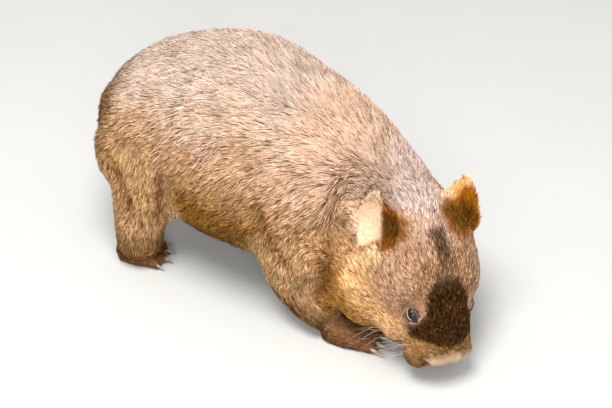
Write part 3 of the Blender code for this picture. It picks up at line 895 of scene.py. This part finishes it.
def nose_material():
    """Bare grained skin, moist, dark in the nostrils with painted shade."""
    nodes = Nodes("nose_pad")
    fine = nodes.grain(900)
    inputs = {"Scale": 620.0, "Vector": nodes.place}
    cells = nodes.add("ShaderNodeTexVoronoi", inputs, feature="DISTANCE_TO_EDGE")
    cells = cells.outputs["Distance"]
    colour = nodes.toned(nodes.markings_and_painted_light(), cells, 0.0, 0.35, (0.62, 0.60, 0.60), (1.08, 1.06, 1.05))
    colour = nodes.toned(colour, nodes.grain(140), 0.35, 0.65, (0.80, 0.77, 0.75), (1.05, 1.05, 1.05))
    rough = nodes.stretch(0.0, 1.6, nodes.stretch(0.9, 0.2, fine))
    grain = nodes.bump(nodes.stretch(0.0, 0.35, cells), 0.0005, 0.8)
    normal = nodes.bump(fine, 0.0002, 0.5, Normal=grain)
    return nodes.finish(Base_Color=colour, Roughness=rough, Normal=normal)


# The eyeball's colours from the middle of the pupil outward: pupil, iris, its dark edge and the rim
EYE_STOPS = (
    (0.0, (0.002, 0.002, 0.002)), (0.32, (0.003, 0.002, 0.002)), (0.38, (0.020, 0.009, 0.004)),
    (0.64, (0.028, 0.013, 0.006)), (0.74, (0.006, 0.004, 0.003)), (0.95, (0.20, 0.15, 0.125)),
)


def eye_material():
    """Dark brown iris round a black pupil, with a brown-grey rim, under a wet coat."""
    nodes = Nodes("eyeball")
    ramp = nodes.add("ShaderNodeValToRGB", {"Fac": nodes.attribute("off_axis", "Fac")})
    for place, _ in EYE_STOPS[2:]:
        ramp.color_ramp.elements.new(place)
    for element, (place, colour) in zip(ramp.color_ramp.elements, EYE_STOPS):
        element.position = place
        element.color = (*colour, 1)
    fibres = nodes.grain(900, 2, 0.5)
    colour = nodes.toned(ramp.outputs["Color"], fibres, 0.3, 0.7, (0.6, 0.6, 0.6), (1.3, 1.2, 1.1))
    wet = {"Specular_IOR_Level": 0.2, "Coat_Weight": 0.35, "Coat_Roughness": 0.03}
    return nodes.finish(Base_Color=colour, Roughness=0.25, **wet)


def lid_material():
    """Bare lids, dark and moist at their edge."""
    nodes = Nodes("eyelids")
    fine = nodes.grain(700)
    colour = nodes.toned(nodes.markings_and_painted_light(), fine, 0.3, 0.7, (0.75, 0.72, 0.70), (1.08, 1.06, 1.05))
    return nodes.finish(Base_Color=colour, Roughness=0.48, Normal=nodes.bump(fine, 0.0004, 0.7))


def horn_material():
    """Worn horn, dark in patches and pale where it is rubbed, with fine lines."""
    nodes = Nodes("horn")
    squeezed = nodes.add("ShaderNodeMapping", {"Vector": nodes.place, "Scale": (700, 90, 700)})
    lines = nodes.grain(1.0, 3, 0.55, squeezed.outputs["Vector"])
    worn = nodes.stretch(0.35, 0.7, nodes.grain(130, 4))
    colour = nodes.blend(worn, (0.17, 0.115, 0.085, 1), (0.50, 0.40, 0.32, 1))
    colour = nodes.toned(colour, lines, 0.35, 0.65, (0.7, 0.7, 0.7), (1.1, 1.1, 1.1))
    rough = nodes.stretch(-1.0, 2.2, lines)
    return nodes.finish(Base_Color=colour, Roughness=rough, Normal=nodes.bump(lines, 0.0002, 0.6))


def whisker_material():
    """Stiff hair, brown and pale in turn."""
    nodes = Nodes("whiskers")
    share = nodes.stretch(0.35, 0.6, nodes.grain(90, 2, 0.5))
    colour = nodes.blend(share, (0.16, 0.10, 0.06, 1), (0.70, 0.62, 0.52, 1))
    return nodes.finish(Base_Color=colour, Roughness=0.4)


# Face

NOSE_ROWS, NOSE_COLUMNS = 84, 130
NOSE_POWER = 2.3  # 2 would make the pad's outline an ellipse
NOSTRIL_SIZE = (0.0076, 0.0050)
NOSTRIL_TAIL_AT, NOSTRIL_TAIL_SIZE = (0.0055, 0.0042), (0.0045, 0.0020)
NOSTRIL_DEPTH, NOSE_LUMP, NOSE_CLEFT, NOSE_RIM = 0.0070, 0.0013, 0.0016, 0.0035
EYE_ROWS, EYE_COLUMNS = 40, 64
EYE_BULGE = 0.020  # how much further the eyeball's clear front stands out, as a share of its radius
LID_COLUMNS = 128


def make_nose(material):
    """The bare pad: a lumpy cushion with a squarish outline, two nostrils and a cleft between them.
    Its rim goes under the fur."""
    v, u = np.meshgrid(np.linspace(-1, 1, NOSE_ROWS), np.linspace(-1, 1, NOSE_COLUMNS), indexing="ij")
    reach = np.maximum(np.abs(u), np.abs(v))
    squeeze = reach / (np.hypot(u, v) + 1e-9) * (1 + 0.08 * reach**2 * np.sin(2 * np.arctan2(v, u)) ** 2)
    x, z = u * squeeze * 0.93, v * squeeze * 0.95
    inside = 1 - np.abs(x) ** NOSE_POWER - np.abs(z) ** NOSE_POWER
    y = -np.sqrt(np.maximum(inside, 0.02)) * NOSE_SIZE[1]
    place = np.stack([x * NOSE_SIZE[0], y + NOSE_RIM * reach**8, z * NOSE_SIZE[2]], axis=-1)
    pit = np.zeros_like(x)
    lump = np.zeros_like(x)
    for side in SIDES.values():
        across = side * place[..., 0] - NOSTRIL_X
        up = place[..., 2] - NOSTRIL_Z - 0.30 * across
        from_hole = np.stack([across, up], axis=-1)
        hole = lengths(from_hole / NOSTRIL_SIZE)
        hole = np.minimum(hole, lengths((from_hole - NOSTRIL_TAIL_AT) / NOSTRIL_TAIL_SIZE))
        pit = np.maximum(pit, smooth(1.15, 0.50, hole))
        lump = np.maximum(lump, np.exp(-(((hole - 1.6) / 0.55) ** 2)))
        lump = np.maximum(lump, 0.8 * np.exp(-((side * place[..., 0] - 0.015) / 0.008) ** 2))
    cleft = np.exp(-((place[..., 0] / 0.0016) ** 2)) * smooth(0.006, -0.004, place[..., 2])
    carved = NOSTRIL_DEPTH * pit - NOSE_LUMP * lump * (1 - pit) + NOSE_CLEFT * cleft
    place[..., 1] += carved * smooth(1.0, 0.9, reach)
    points = place.reshape(-1, 3) + NOSE_MIDDLE
    points[:, 1] += 0.00025 * noise(points, 0.0016, 11) + 0.0007 * noise(points, 0.007, 12)
    quads = grid_quads(NOSE_ROWS, NOSE_COLUMNS)[:, :-1].reshape(-1, 4)
    mesh = new_mesh("nose_pad", from_head(points), [quads[:, [0, 3, 2, 1]]])
    brown = 0.75 * smooth(0.60, 1.0, reach) + 0.5 * smooth(0.002, -0.012, place[..., 2])
    brown = np.clip(brown.ravel() + 0.35 * noise(points, 0.010, 13) + 0.25, 0, 1)
    # painted shade in the nostrils and, half as strong, in the cleft
    dark = np.maximum(pit, 0.5 * cleft).ravel()
    paint(mesh, layered(len(points), NOSE_TAN, (NOSE_BROWN, brown), (NOSE_HOLLOW_SHADE, dark)))
    add_piece("nose_pad", mesh, material, "nose_skin", ["nose"])


def make_eye(side, eye, material):
    """The eyeball, with the clear bulge of its front: a grid of rings with one point at each pole."""
    middle, looks, long_side, upper = eye
    ends = slice(EYE_COLUMNS - 1, 1 - EYE_COLUMNS)
    off_axis = np.repeat(np.linspace(0, math.pi, EYE_ROWS), EYE_COLUMNS)[ends]
    turn = np.tile(np.linspace(0, 2 * math.pi, EYE_COLUMNS, endpoint=False), EYE_ROWS)[ends]
    radius = EYE_RADIUS * (1 + EYE_BULGE * smooth(0.85, 0.15, off_axis))
    ways = np.cos(off_axis)[:, None] * looks
    ways = ways + (np.sin(off_axis) * np.cos(turn))[:, None] * long_side
    ways = ways + (np.sin(off_axis) * np.sin(turn))[:, None] * upper
    places = middle + ways * radius[:, None]
    quads = grid_quads(EYE_ROWS - 2, EYE_COLUMNS).reshape(-1, 4) + 1
    first = np.arange(EYE_COLUMNS) + 1
    last = first + (EYE_ROWS - 3) * EYE_COLUMNS
    fans = [np.stack([0 * first, first, np.roll(first, -1)], axis=-1)]
    fans.append(np.stack([0 * last + len(places) - 1, np.roll(last, -1), last], axis=-1))
    mesh = new_mesh(f"{side}_eyeball", places, [quads, np.concatenate(fans)])
    ring = mesh.attributes.new("off_axis", "FLOAT", "POINT")
    write(ring.data, "value", np.clip(off_axis / 1.1, 0, 1))
    edit(mesh, face_outward)
    add_piece(f"{side}_eyeball", mesh, material, "eye_gloss", [f"{side}_eye"])


# The lids, by how far each ring of them lies past the opening and above the eyeball, in millimetres. The
# rings of the rim and the fold are the first LID_FOLD ones.
LID_RINGS = (
    (-2.4, -2.2), (-1.0, -0.9), (0.0, 0.3), (0.5, 1.1), (1.2, 1.6), (2.0, 1.6), (2.8, 1.2),
    (3.6, 1.6), (4.6, 1.9), (6.0, 1.6), (7.8, 0.5), (10.0, -1.8),
)
LID_FOLD = 8
LID_TUCK = 0.0008  # how far the lids' outer rings go under the skin
CAST, CAST_REACH = 0.03, 0.05  # how far outside the skin a line that looks for it starts, and its length


def make_lids(side, eye, skin_tree, material):
    """Both lids in one ring: a moist edge on the eyeball, pale below with a painted highlight, a rolled rim,
    a fold, then under the fur.
    """
    middle, looks, long_side, upper = eye
    turns = np.linspace(0, 2 * math.pi, LID_COLUMNS, endpoint=False)
    sine, cosine = np.sin(turns), np.cos(turns)
    across = cosine[:, None] * long_side + sine[:, None] * upper
    rows, shades = [], []
    for number, (past, above) in enumerate(LID_RINGS):
        out = lid_opening(turns) + past / 1000
        high = ball_height(out) + above / 1000 * (1 + 0.35 * sine * (number < LID_FOLD))
        share = float(smooth(2.2, 7.0, past))
        for i, foot in enumerate(middle + across * out[:, None]):
            hit = skin_tree.ray_cast(Vector(foot + looks * CAST), Vector(-looks), CAST_REACH)[3]
            if hit is not None:
                high[i] += share * (CAST - hit + above / 1000 - LID_TUCK - high[i])
        rows.append(middle + across * out[:, None] + looks * high[:, None])
        # Painted highlight: the lower lid's inner edge is pale where it glints wet
        wet = smooth(0.2, -0.5, sine + 0.5 * cosine) * (past < 0.8) * smooth(-2.4, -0.5, past)
        bare = np.full(LID_COLUMNS, smooth(2.0, 3.2, past))
        shades.append(layered(LID_COLUMNS, LID_DARK, (LID_SKIN, bare), (LID_WET_HIGHLIGHT, 0.85 * wet)))
    places = np.concatenate(rows)
    quads = grid_quads(len(LID_RINGS), LID_COLUMNS).reshape(-1, 4)
    one, other = places[quads[-1, 1]] - places[quads[-1, 0]], places[quads[-1, 3]] - places[quads[-1, 0]]
    if np.dot(np.cross(one, other), looks) < 0:
        quads = quads[:, ::-1]
    mesh = new_mesh(f"{side}_eyelids", places, [quads])
    paint(mesh, np.concatenate(shades))
    add_piece(f"{side}_eyelids", mesh, material, "coat_face")


WHISKERS, MUZZLE_WHISKERS, WHISKERS_IN_ROW = 25, 22, 6  # on each side
WHISKER_SIDES, WHISKER_RINGS = 5, 9
WHISKER_RADIUS, WHISKER_TIP_RADIUS = 0.00017, 0.00003
WHISKER_SAG = np.array([0, 0.25, -0.55])
WHISKER_LENGTHS = (0.034, 0.062)


def whisker_start(side, number):
    """Where a whisker starts and which way it goes, in the head's frame."""
    if number < MUZZLE_WHISKERS:
        row, step = divmod(number, WHISKERS_IN_ROW)
        start = np.array([side * (0.070 + 0.004 * row), -0.166 + 0.009 * step, -0.012 - 0.009 * row])
        way = [side * 0.85, 0.10 + 0.14 * step, -0.35 - 0.14 * row]
    else:
        start = np.array([side * 0.100, -0.128 + 0.008 * (number - MUZZLE_WHISKERS), -0.040])
        way = [side * 1.0, -0.25, -0.25]
    start = start + random.normal(0, 0.0015, 3)
    return start, unit(unit(way) + random.normal(0, 0.10, 3))


def make_whiskers(skin_tree, material):
    """Stiff hairs in rows on the muzzle, with a few on each cheek."""
    places, quads, tips = [], [], []
    tube = np.arange(WHISKER_RINGS * WHISKER_SIDES).reshape(WHISKER_RINGS, WHISKER_SIDES)
    along = np.linspace(0, 1, WHISKER_RINGS)[:, None]
    turn = np.linspace(0, 2 * math.pi, WHISKER_SIDES, endpoint=False)[:, None]
    for side, number in ((side, number) for side in SIDES.values() for number in range(WHISKERS)):
        start, way = whisker_start(side, number)
        into = HEAD_TURN @ np.array([-side, 0.15, 0.1])
        hit = skin_tree.ray_cast(Vector(from_head(start)), Vector(unit(into)), CAST_REACH)[0]
        if hit is None:
            continue
        way = HEAD_TURN @ way
        root = np.array(hit) - way * 0.001
        length = random.uniform(*WHISKER_LENGTHS)
        spine = root + way * length * along + WHISKER_SAG * length * 0.30 * along**2
        spine[:, 2] = np.maximum(spine[:, 2], 0.002)
        across = unit(np.cross(way, [0, 0, 1]))
        over = unit(np.cross(across, way))
        count = tube.size * len(quads)
        for share, point in zip(along[:, 0], spine):
            thick = WHISKER_RADIUS * (1 - share) ** 0.7 + WHISKER_TIP_RADIUS
            places.append(point + thick * (np.cos(turn) * across + np.sin(turn) * over))
        quads.append(grid_quads(WHISKER_RINGS, WHISKER_SIDES).reshape(-1, 4) + count)
        tips += [tube[0][::-1] + count, tube[-1] + count]
    mesh = new_mesh("whiskers", np.concatenate(places), [np.concatenate(quads), np.array(tips)])
    edit(mesh, face_outward)
    add_piece("whiskers", mesh, material, "coat_face")


def finish_claws(material):
    """The claws stay, rounded, in horn."""
    for node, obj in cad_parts.items():
        if "_claw_" not in node:
            continue
        weld = obj.modifiers.new("weld", "WELD")
        weld.merge_threshold = WELD
        rounder = obj.modifiers.new("round", "SUBSURF")
        rounder.levels = rounder.render_levels = 2
        obj.data.shade_smooth()
        for place in obj.material_slots:
            place.material = material


# Coat

CLUMP = 9  # tufts that lean together into a lock
OVERLAP = 0.6  # the share of a tuft's length times its width that it covers
STRAYS = 0.03  # the share of tufts that stand out further
ROLL = 0.42  # how far tufts turn about their own length
TURN = 0.12  # how far they turn away from their neighbours' way
PULL, PULL_LIMIT = 0.50, 0.35  # how far a tuft leans to its lock's leader, and the most of its own length
ROOT_DEPTH = 0.0006
TUFT_STEPS = (0.0, 0.33, 0.68, 1.0)
FINE_STEPS = (0.0, 0.45, 1.0)
TUFT_WIDTHS = {len(TUFT_STEPS): np.array([0.55, 1.0, 0.80]), len(FINE_STEPS): np.array([0.70, 1.0])}
TUFT_TONES, LOCK_TONES = 0.26, 0.15  # how much tufts differ in tone, and locks of them
FLECKED, DARK_TIPPED = 0.28, 0.30  # shares of golden tufts among dark ones, and of dark tips
TONE_POWERS = np.array([1.0, 1.15, 1.45])  # a darker tuft is also a more golden one
LIGHTNESS = np.array([0.3, 0.59, 0.11])
PATCH = 0.0028  # width of a tuft's patch on its piece's map
SEAM_ANGLE, ISLAND_MARGIN = math.radians(66), 0.004

# The coat's parts on each side of the body and of the head, and the slots of those not on the trunk
BODY_PARTS = ("front", "middle", "rear", "hind_leg", "foreleg")
HEAD_PARTS = ("crown", "face", "muzzle", "ear")
FRONT_ENDS, REAR_STARTS, FORELEG_ENDS = -0.03, 0.15, 0.08
FACE_STARTS, MUZZLE_STARTS = -0.075, -0.135  # in the head's frame
COAT_SLOTS = {
    "hind_leg": "coat_leg", "foreleg": "coat_leg", "ear": "ear_fur",
    "crown": "coat_face", "face": "coat_face", "muzzle": "coat_face",
}


class Surface:
    """The skin as triangles, with what its corners hold."""

    def __init__(self, mesh, kinds):
        self.places, self.normals, self.triangles = arrays(mesh)
        self.kinds = kinds
        self.lie = kinds.lie()
        self.size = kinds.tuft_sizes()
        self.depth = kinds.depth()
        self.colours = kinds.colours()
        self.contrast = kinds.contrast()
        self.loft = kinds.loft()
        self.dark_share, self.dark_colour = kinds.dark_hairs()
        corners = self.places[self.triangles]
        turned = np.cross(corners[:, 1] - corners[:, 0], corners[:, 2] - corners[:, 0])
        self.areas = lengths(turned) / 2
        self.middles = corners.mean(axis=1)

    def at(self, roots, *names):
        """What the skin holds under each name at the roots, each a triangle and shares of its corners."""
        triangle, shares = roots
        corners = self.triangles[triangle]
        for name in names:
            values = getattr(self, name)
            rows = values.reshape(len(values), -1)[corners] * shares[..., None]
            yield np.squeeze(rows.sum(axis=1))


def bare_places(surface):
    """True where a triangle of the skin grows no hair: soles, the nose pad and lids."""
    kinds = surface.kinds
    bare = (kinds.from_pad + 0.06 * noise(surface.places, 0.006, 17) < 0.89) | kinds.near_lids
    sole = (surface.normals[:, 2] < -0.6) & (surface.places[:, 2] < 0.006)
    return (bare | sole)[surface.triangles].any(axis=1)


def pick_roots(surface):
    """Where tufts grow: triangles and shares of their corners, so many that they cover the skin."""
    length, width, layers = surface.size[surface.triangles].mean(axis=1).T
    count = surface.areas * layers / (length * width * OVERLAP)
    count[bare_places(surface)] = 0
    whole = np.floor(count + random.random(len(count))).astype(int)
    triangle = np.repeat(np.arange(len(count)), whole)
    a, b = random.random((2, len(triangle)))
    fold = a + b > 1
    a[fold], b[fold] = 1 - a[fold], 1 - b[fold]
    return triangle, np.stack([1 - a - b, a, b], axis=1)


def clump_leaders(roots):
    """For each root, the number of the root that leads its lock."""
    leaders = random.choice(len(roots), max(1, len(roots) // CLUMP), replace=False)
    tree = KDTree(len(leaders))
    for i in leaders:
        tree.insert(Vector(roots[i]), int(i))
    tree.balance()
    return np.array([tree.find(root)[1] for root in roots.tolist()])


def tuft_spines(surface, roots, steps):
    """Root, normal, side and the points along each tuft, its width and the leader of its lock."""
    names = ("places", "normals", "lie", "size", "depth", "loft")
    root, normal, lie, size, depth, loft = surface.at(roots, *names)
    normal = unit(normal)
    count = len(root)
    turn = 0.28 * noise(root, 0.024, 21) + 0.16 * noise(root, 0.008, 22) + random.normal(0, TURN, count)
    side = np.cross(normal, lie)
    lie = unit(lie * np.cos(turn)[:, None] + side * np.sin(turn)[:, None])
    side = unit(np.cross(normal, lie))
    length = (size[:, 0] * random.uniform(0.70, 1.20, count))[:, None, None]
    lift = depth * random.uniform(0.55, 1.05, count) + 0.0004
    lift = lift * np.where(random.random(count) < STRAYS, 1.5, 1.0)
    lift = (lift + loft * random.uniform(0.2, 1.0, count))[:, None, None]
    along = np.asarray(steps)[None, :, None]
    rise = np.sin(along * 1.75) / math.sin(1.57)
    spine = root[:, None] + lie[:, None] * (length * along)
    spine = spine + normal[:, None] * (lift * rise - ROOT_DEPTH * (1 - along))
    leader = clump_leaders(root)
    pull = (spine[leader] - spine) * (PULL * along**1.6)
    reach = np.linalg.norm(pull, axis=2, keepdims=True)
    spine = spine + pull * np.minimum(1, PULL_LIMIT * length / np.maximum(reach, 1e-9))
    return root, normal, side, spine, size[:, 1], leader


def tuft_colours(surface, roots, leader, steps, root):
    """Dark roots, then the markings with their painted light, then a pale or dark tip, with light and dark
    tufts mixed.
    """
    names = ("colours", "contrast", "dark_share", "dark_colour")
    base, contrast, dark_share, dark_colour = surface.at(roots, *names)
    count = len(base)
    dark = random.random(count) < dark_share
    base = mix(base, dark_colour, dark * random.uniform(0.6, 1.0, count))
    flecked = (random.random(count) < FLECKED) * smooth(0.075, 0.03, base @ LIGHTNESS)
    base = mix(base, FLECK_GOLD, flecked * random.uniform(0.3, 0.9, count))
    own = random.normal(0, TUFT_TONES, count)
    lock = random.normal(0, LOCK_TONES, count)[leader]
    grain = 0.16 * noise(root, 0.005, 31)
    tone = np.exp(np.clip((own + lock + grain) * contrast, -1.1, 0.5))
    tip = np.where(random.random(count) < DARK_TIPPED, -0.75, 0.30) * contrast
    along = np.asarray(steps)
    body = (0.95 - 0.85 * (1 - smooth(0.0, 0.5, along)))[None, :]
    shade = np.exp(np.log(body) * (0.35 + 0.5 * contrast[:, None]) + tip[:, None] * smooth(0.6, 1.0, along))
    whole = np.clip(tone[:, None] * shade, 0.05, 1.7)[..., None]
    return np.clip(base[:, None] * whole**TONE_POWERS, 0.002, 0.95)


def tuft_mesh(name, spine, side, width, colours, patch):
    """Flat tapered tufts. spine is points along each tuft, the last of them its tip."""
    count, steps = spine.shape[:2]
    half = side[:, None] * (width[:, None] * 0.5 * TUFT_WIDTHS[steps])[..., None]
    pairs = np.stack([spine[:, :-1] - half, spine[:, :-1] + half], axis=2).reshape(count, -1, 3)
    places = np.concatenate([pairs, spine[:, -1:]], axis=1)
    places[..., 2] = np.maximum(places[..., 2], FLOOR_GAP)
    each = places.shape[1]
    first = (np.arange(count) * each)[:, None]
    quads = [first + np.array([2 * i, 2 * i + 1, 2 * i + 3, 2 * i + 2]) for i in range(steps - 2)]
    tips = first + np.array([each - 3, each - 2, each - 1])
    mesh = new_mesh(name, places.reshape(-1, 3), [np.concatenate(quads), tips])
    paired = np.repeat(colours[:, :-1], 2, axis=1)
    paint(mesh, np.concatenate([paired, colours[:, -1:]], axis=1).reshape(-1, 3))
    across = np.append(np.tile([0.0, 1.0], steps - 1), 0.5)
    along = np.append(np.repeat(np.arange(steps - 1) / (steps - 1), 2), 1.0)
    spread = (np.stack([across, along], axis=1) - 0.5) * PATCH
    on_vertices = (patch[:, None] + spread).reshape(-1, 2)
    corners = read(mesh.loops, "vertex_index", 1, np.int32)[:, 0]
    write(mesh.uv_layers.new(name="OFBake").uv, "vector", on_vertices[corners])
    return mesh


def unwrapped(surface, chosen):
    """An unwrap of the chosen triangles of the skin that fills the map: for each of them, its three
    corners' places on the map."""
    used, compact = np.unique(surface.triangles[chosen], return_inverse=True)
    mesh = new_mesh("unwrap", surface.places[used], [compact.reshape(-1, 3)])
    obj = link("unwrap", mesh)
    bpy.context.view_layer.objects.active = obj
    for other in bpy.context.selected_objects:
        other.select_set(False)
    obj.select_set(True)
    bpy.ops.object.mode_set(mode="EDIT")
    bpy.ops.mesh.select_all(action="SELECT")
    bpy.ops.uv.smart_project(angle_limit=SEAM_ANGLE, island_margin=ISLAND_MARGIN)
    bpy.ops.object.mode_set(mode="OBJECT")
    uv = read(mesh.uv_layers.active.uv, "vector", 2, np.float32).reshape(-1, 3, 2)
    bpy.data.objects.remove(obj)
    bpy.data.meshes.remove(mesh)
    low, high = uv.min(axis=(0, 1)), uv.max(axis=(0, 1))
    return (uv - low) / (high - low) * (1 - 2 * PATCH) + PATCH


def regions(surface):
    """The coat's pieces: side, part and which of the skin's triangles each grows from."""
    kinds = ("on_head", "leg", "ear")
    on_head, leg, ear = (getattr(surface.kinds, k)[surface.triangles].mean(axis=1) > 0.5 for k in kinds)
    x, y, _ = surface.middles.T
    hx, hy, _ = to_head(surface.middles).T
    part = np.full(len(x), "middle", dtype=object)
    part[y < FRONT_ENDS] = "front"
    part[y > REAR_STARTS] = "rear"
    part[leg & (y > FORELEG_ENDS)] = "hind_leg"
    part[leg & (y <= FORELEG_ENDS)] = "foreleg"
    part[on_head] = "crown"
    part[on_head & (hy < FACE_STARTS)] = "face"
    part[on_head & (hy < MUZZLE_STARTS)] = "muzzle"
    part[ear] = "ear"
    for words, left in ((BODY_PARTS, x > 0), (HEAD_PARTS, hx > 0)):
        for word in words:
            yield "left", word, (part == word) & left
            yield "right", word, (part == word) & ~left


def make_coat(surface, material):
    triangle, shares = pick_roots(surface)
    for side_name, part, chosen in regions(surface):
        mine = chosen[triangle]
        roots = triangle[mine], shares[mine]
        steps = FINE_STEPS if part in COAT_SLOTS else TUFT_STEPS
        root, normal, side, spine, width, leader = tuft_spines(surface, roots, steps)
        colours = tuft_colours(surface, roots, leader, steps, root)
        roll = random.normal(0, ROLL, len(root))
        side = unit(side * np.cos(roll)[:, None] + normal * np.sin(roll)[:, None])
        numbers = np.flatnonzero(chosen)
        corners = unwrapped(surface, numbers)[np.searchsorted(numbers, roots[0])]
        patch = (corners * roots[1][..., None]).sum(axis=1)
        name = f"coat_{side_name}_{part}"
        mesh = tuft_mesh(name, spine, side, width, colours, patch)
        add_piece(name, mesh, material, COAT_SLOTS.get(part, "coat_side"))


# Studio

FLOOR_SIZE = 14
LAMP_COLOUR = (1.0, 0.98, 0.95)
# Place, aim, size and power of each lamp
LAMPS = {
    "key": ((-0.7, -0.1, 2.3), (0, 0, 0.2), 1.2, 63),
    "fill": ((-2.0, -1.3, 1.1), (0, 0, 0.15), 1.6, 37),
}
SKY_COLOUR, SKY_STRENGTH = (0.97, 0.98, 1.0, 1), 0.80
CAMERA_AZIMUTH, CAMERA_ELEVATION = math.radians(-56), math.radians(38)
CAMERA_DISTANCE, CAMERA_LENS, CAMERA_SENSOR = 2.392, 90, 36
CAMERA_TARGET = Vector((-0.0276, -0.0406, 0.1656))


def add_floor():
    bpy.ops.mesh.primitive_plane_add(size=FLOOR_SIZE)
    floor = bpy.context.object
    floor.name = "floor"
    nodes = Nodes("floor")
    colour = nodes.blend(nodes.grain(3, 3, 0.5), (0.52, 0.52, 0.505, 1), (0.56, 0.56, 0.545, 1))
    floor.data.materials.append(nodes.finish(Base_Color=colour, Roughness=0.9))


def add_light():
    world = bpy.data.worlds.new("studio")
    world.use_nodes = True
    world.node_tree.nodes["Background"].inputs["Color"].default_value = SKY_COLOUR
    world.node_tree.nodes["Background"].inputs["Strength"].default_value = SKY_STRENGTH
    bpy.context.scene.world = world
    for name, (place, aim, size, power) in LAMPS.items():
        lamp = bpy.data.lights.new(name, "AREA")
        lamp.shape = "DISK"
        lamp.size = size
        lamp.energy = power
        lamp.color = LAMP_COLOUR
        obj = link(name, lamp)
        obj.location = place
        obj.rotation_euler = (Vector(aim) - Vector(place)).to_track_quat("-Z", "Y").to_euler()


def add_camera():
    """Looks at the animal's right side from in front and above."""
    level = math.cos(CAMERA_ELEVATION)
    across, ahead = math.sin(CAMERA_AZIMUTH) * level, -math.cos(CAMERA_AZIMUTH) * level
    back = Vector((across, ahead, math.sin(CAMERA_ELEVATION)))
    camera = bpy.data.cameras.new("camera")
    camera.lens = CAMERA_LENS
    camera.sensor_width = CAMERA_SENSOR
    obj = link("camera", camera)
    obj.location = CAMERA_TARGET + back * CAMERA_DISTANCE
    obj.rotation_euler = (-back).to_track_quat("-Z", "Y").to_euler()
    bpy.context.scene.camera = obj


UNDERCOAT = 0.55  # how bright the skin under fur is beside bare skin


def main():
    mesh, kinds, eyes = make_skin()
    surface = Surface(mesh, kinds)
    bare = np.maximum(kinds.in_ear, kinds.near_lids)
    paint(mesh, surface.colours * between(UNDERCOAT, 1.0, bare)[:, None])
    mesh.materials.clear()
    mesh.shade_smooth()
    add_piece("skin", mesh, skin_material(), "coat_side", FLESH)
    skin_tree = BVHTree.FromPolygons(surface.places.tolist(), surface.triangles.tolist())
    make_nose(nose_material())
    eyeballs, lids = eye_material(), lid_material()
    for side, eye in eyes.items():
        make_eye(side, eye, eyeballs)
        make_lids(side, eye, skin_tree, lids)
    make_whiskers(skin_tree, whisker_material())
    finish_claws(horn_material())
    make_coat(surface, coat_material())
    add_floor()
    add_light()
    add_camera()
    bpy.context.scene.view_settings.view_transform = "Standard"


main()
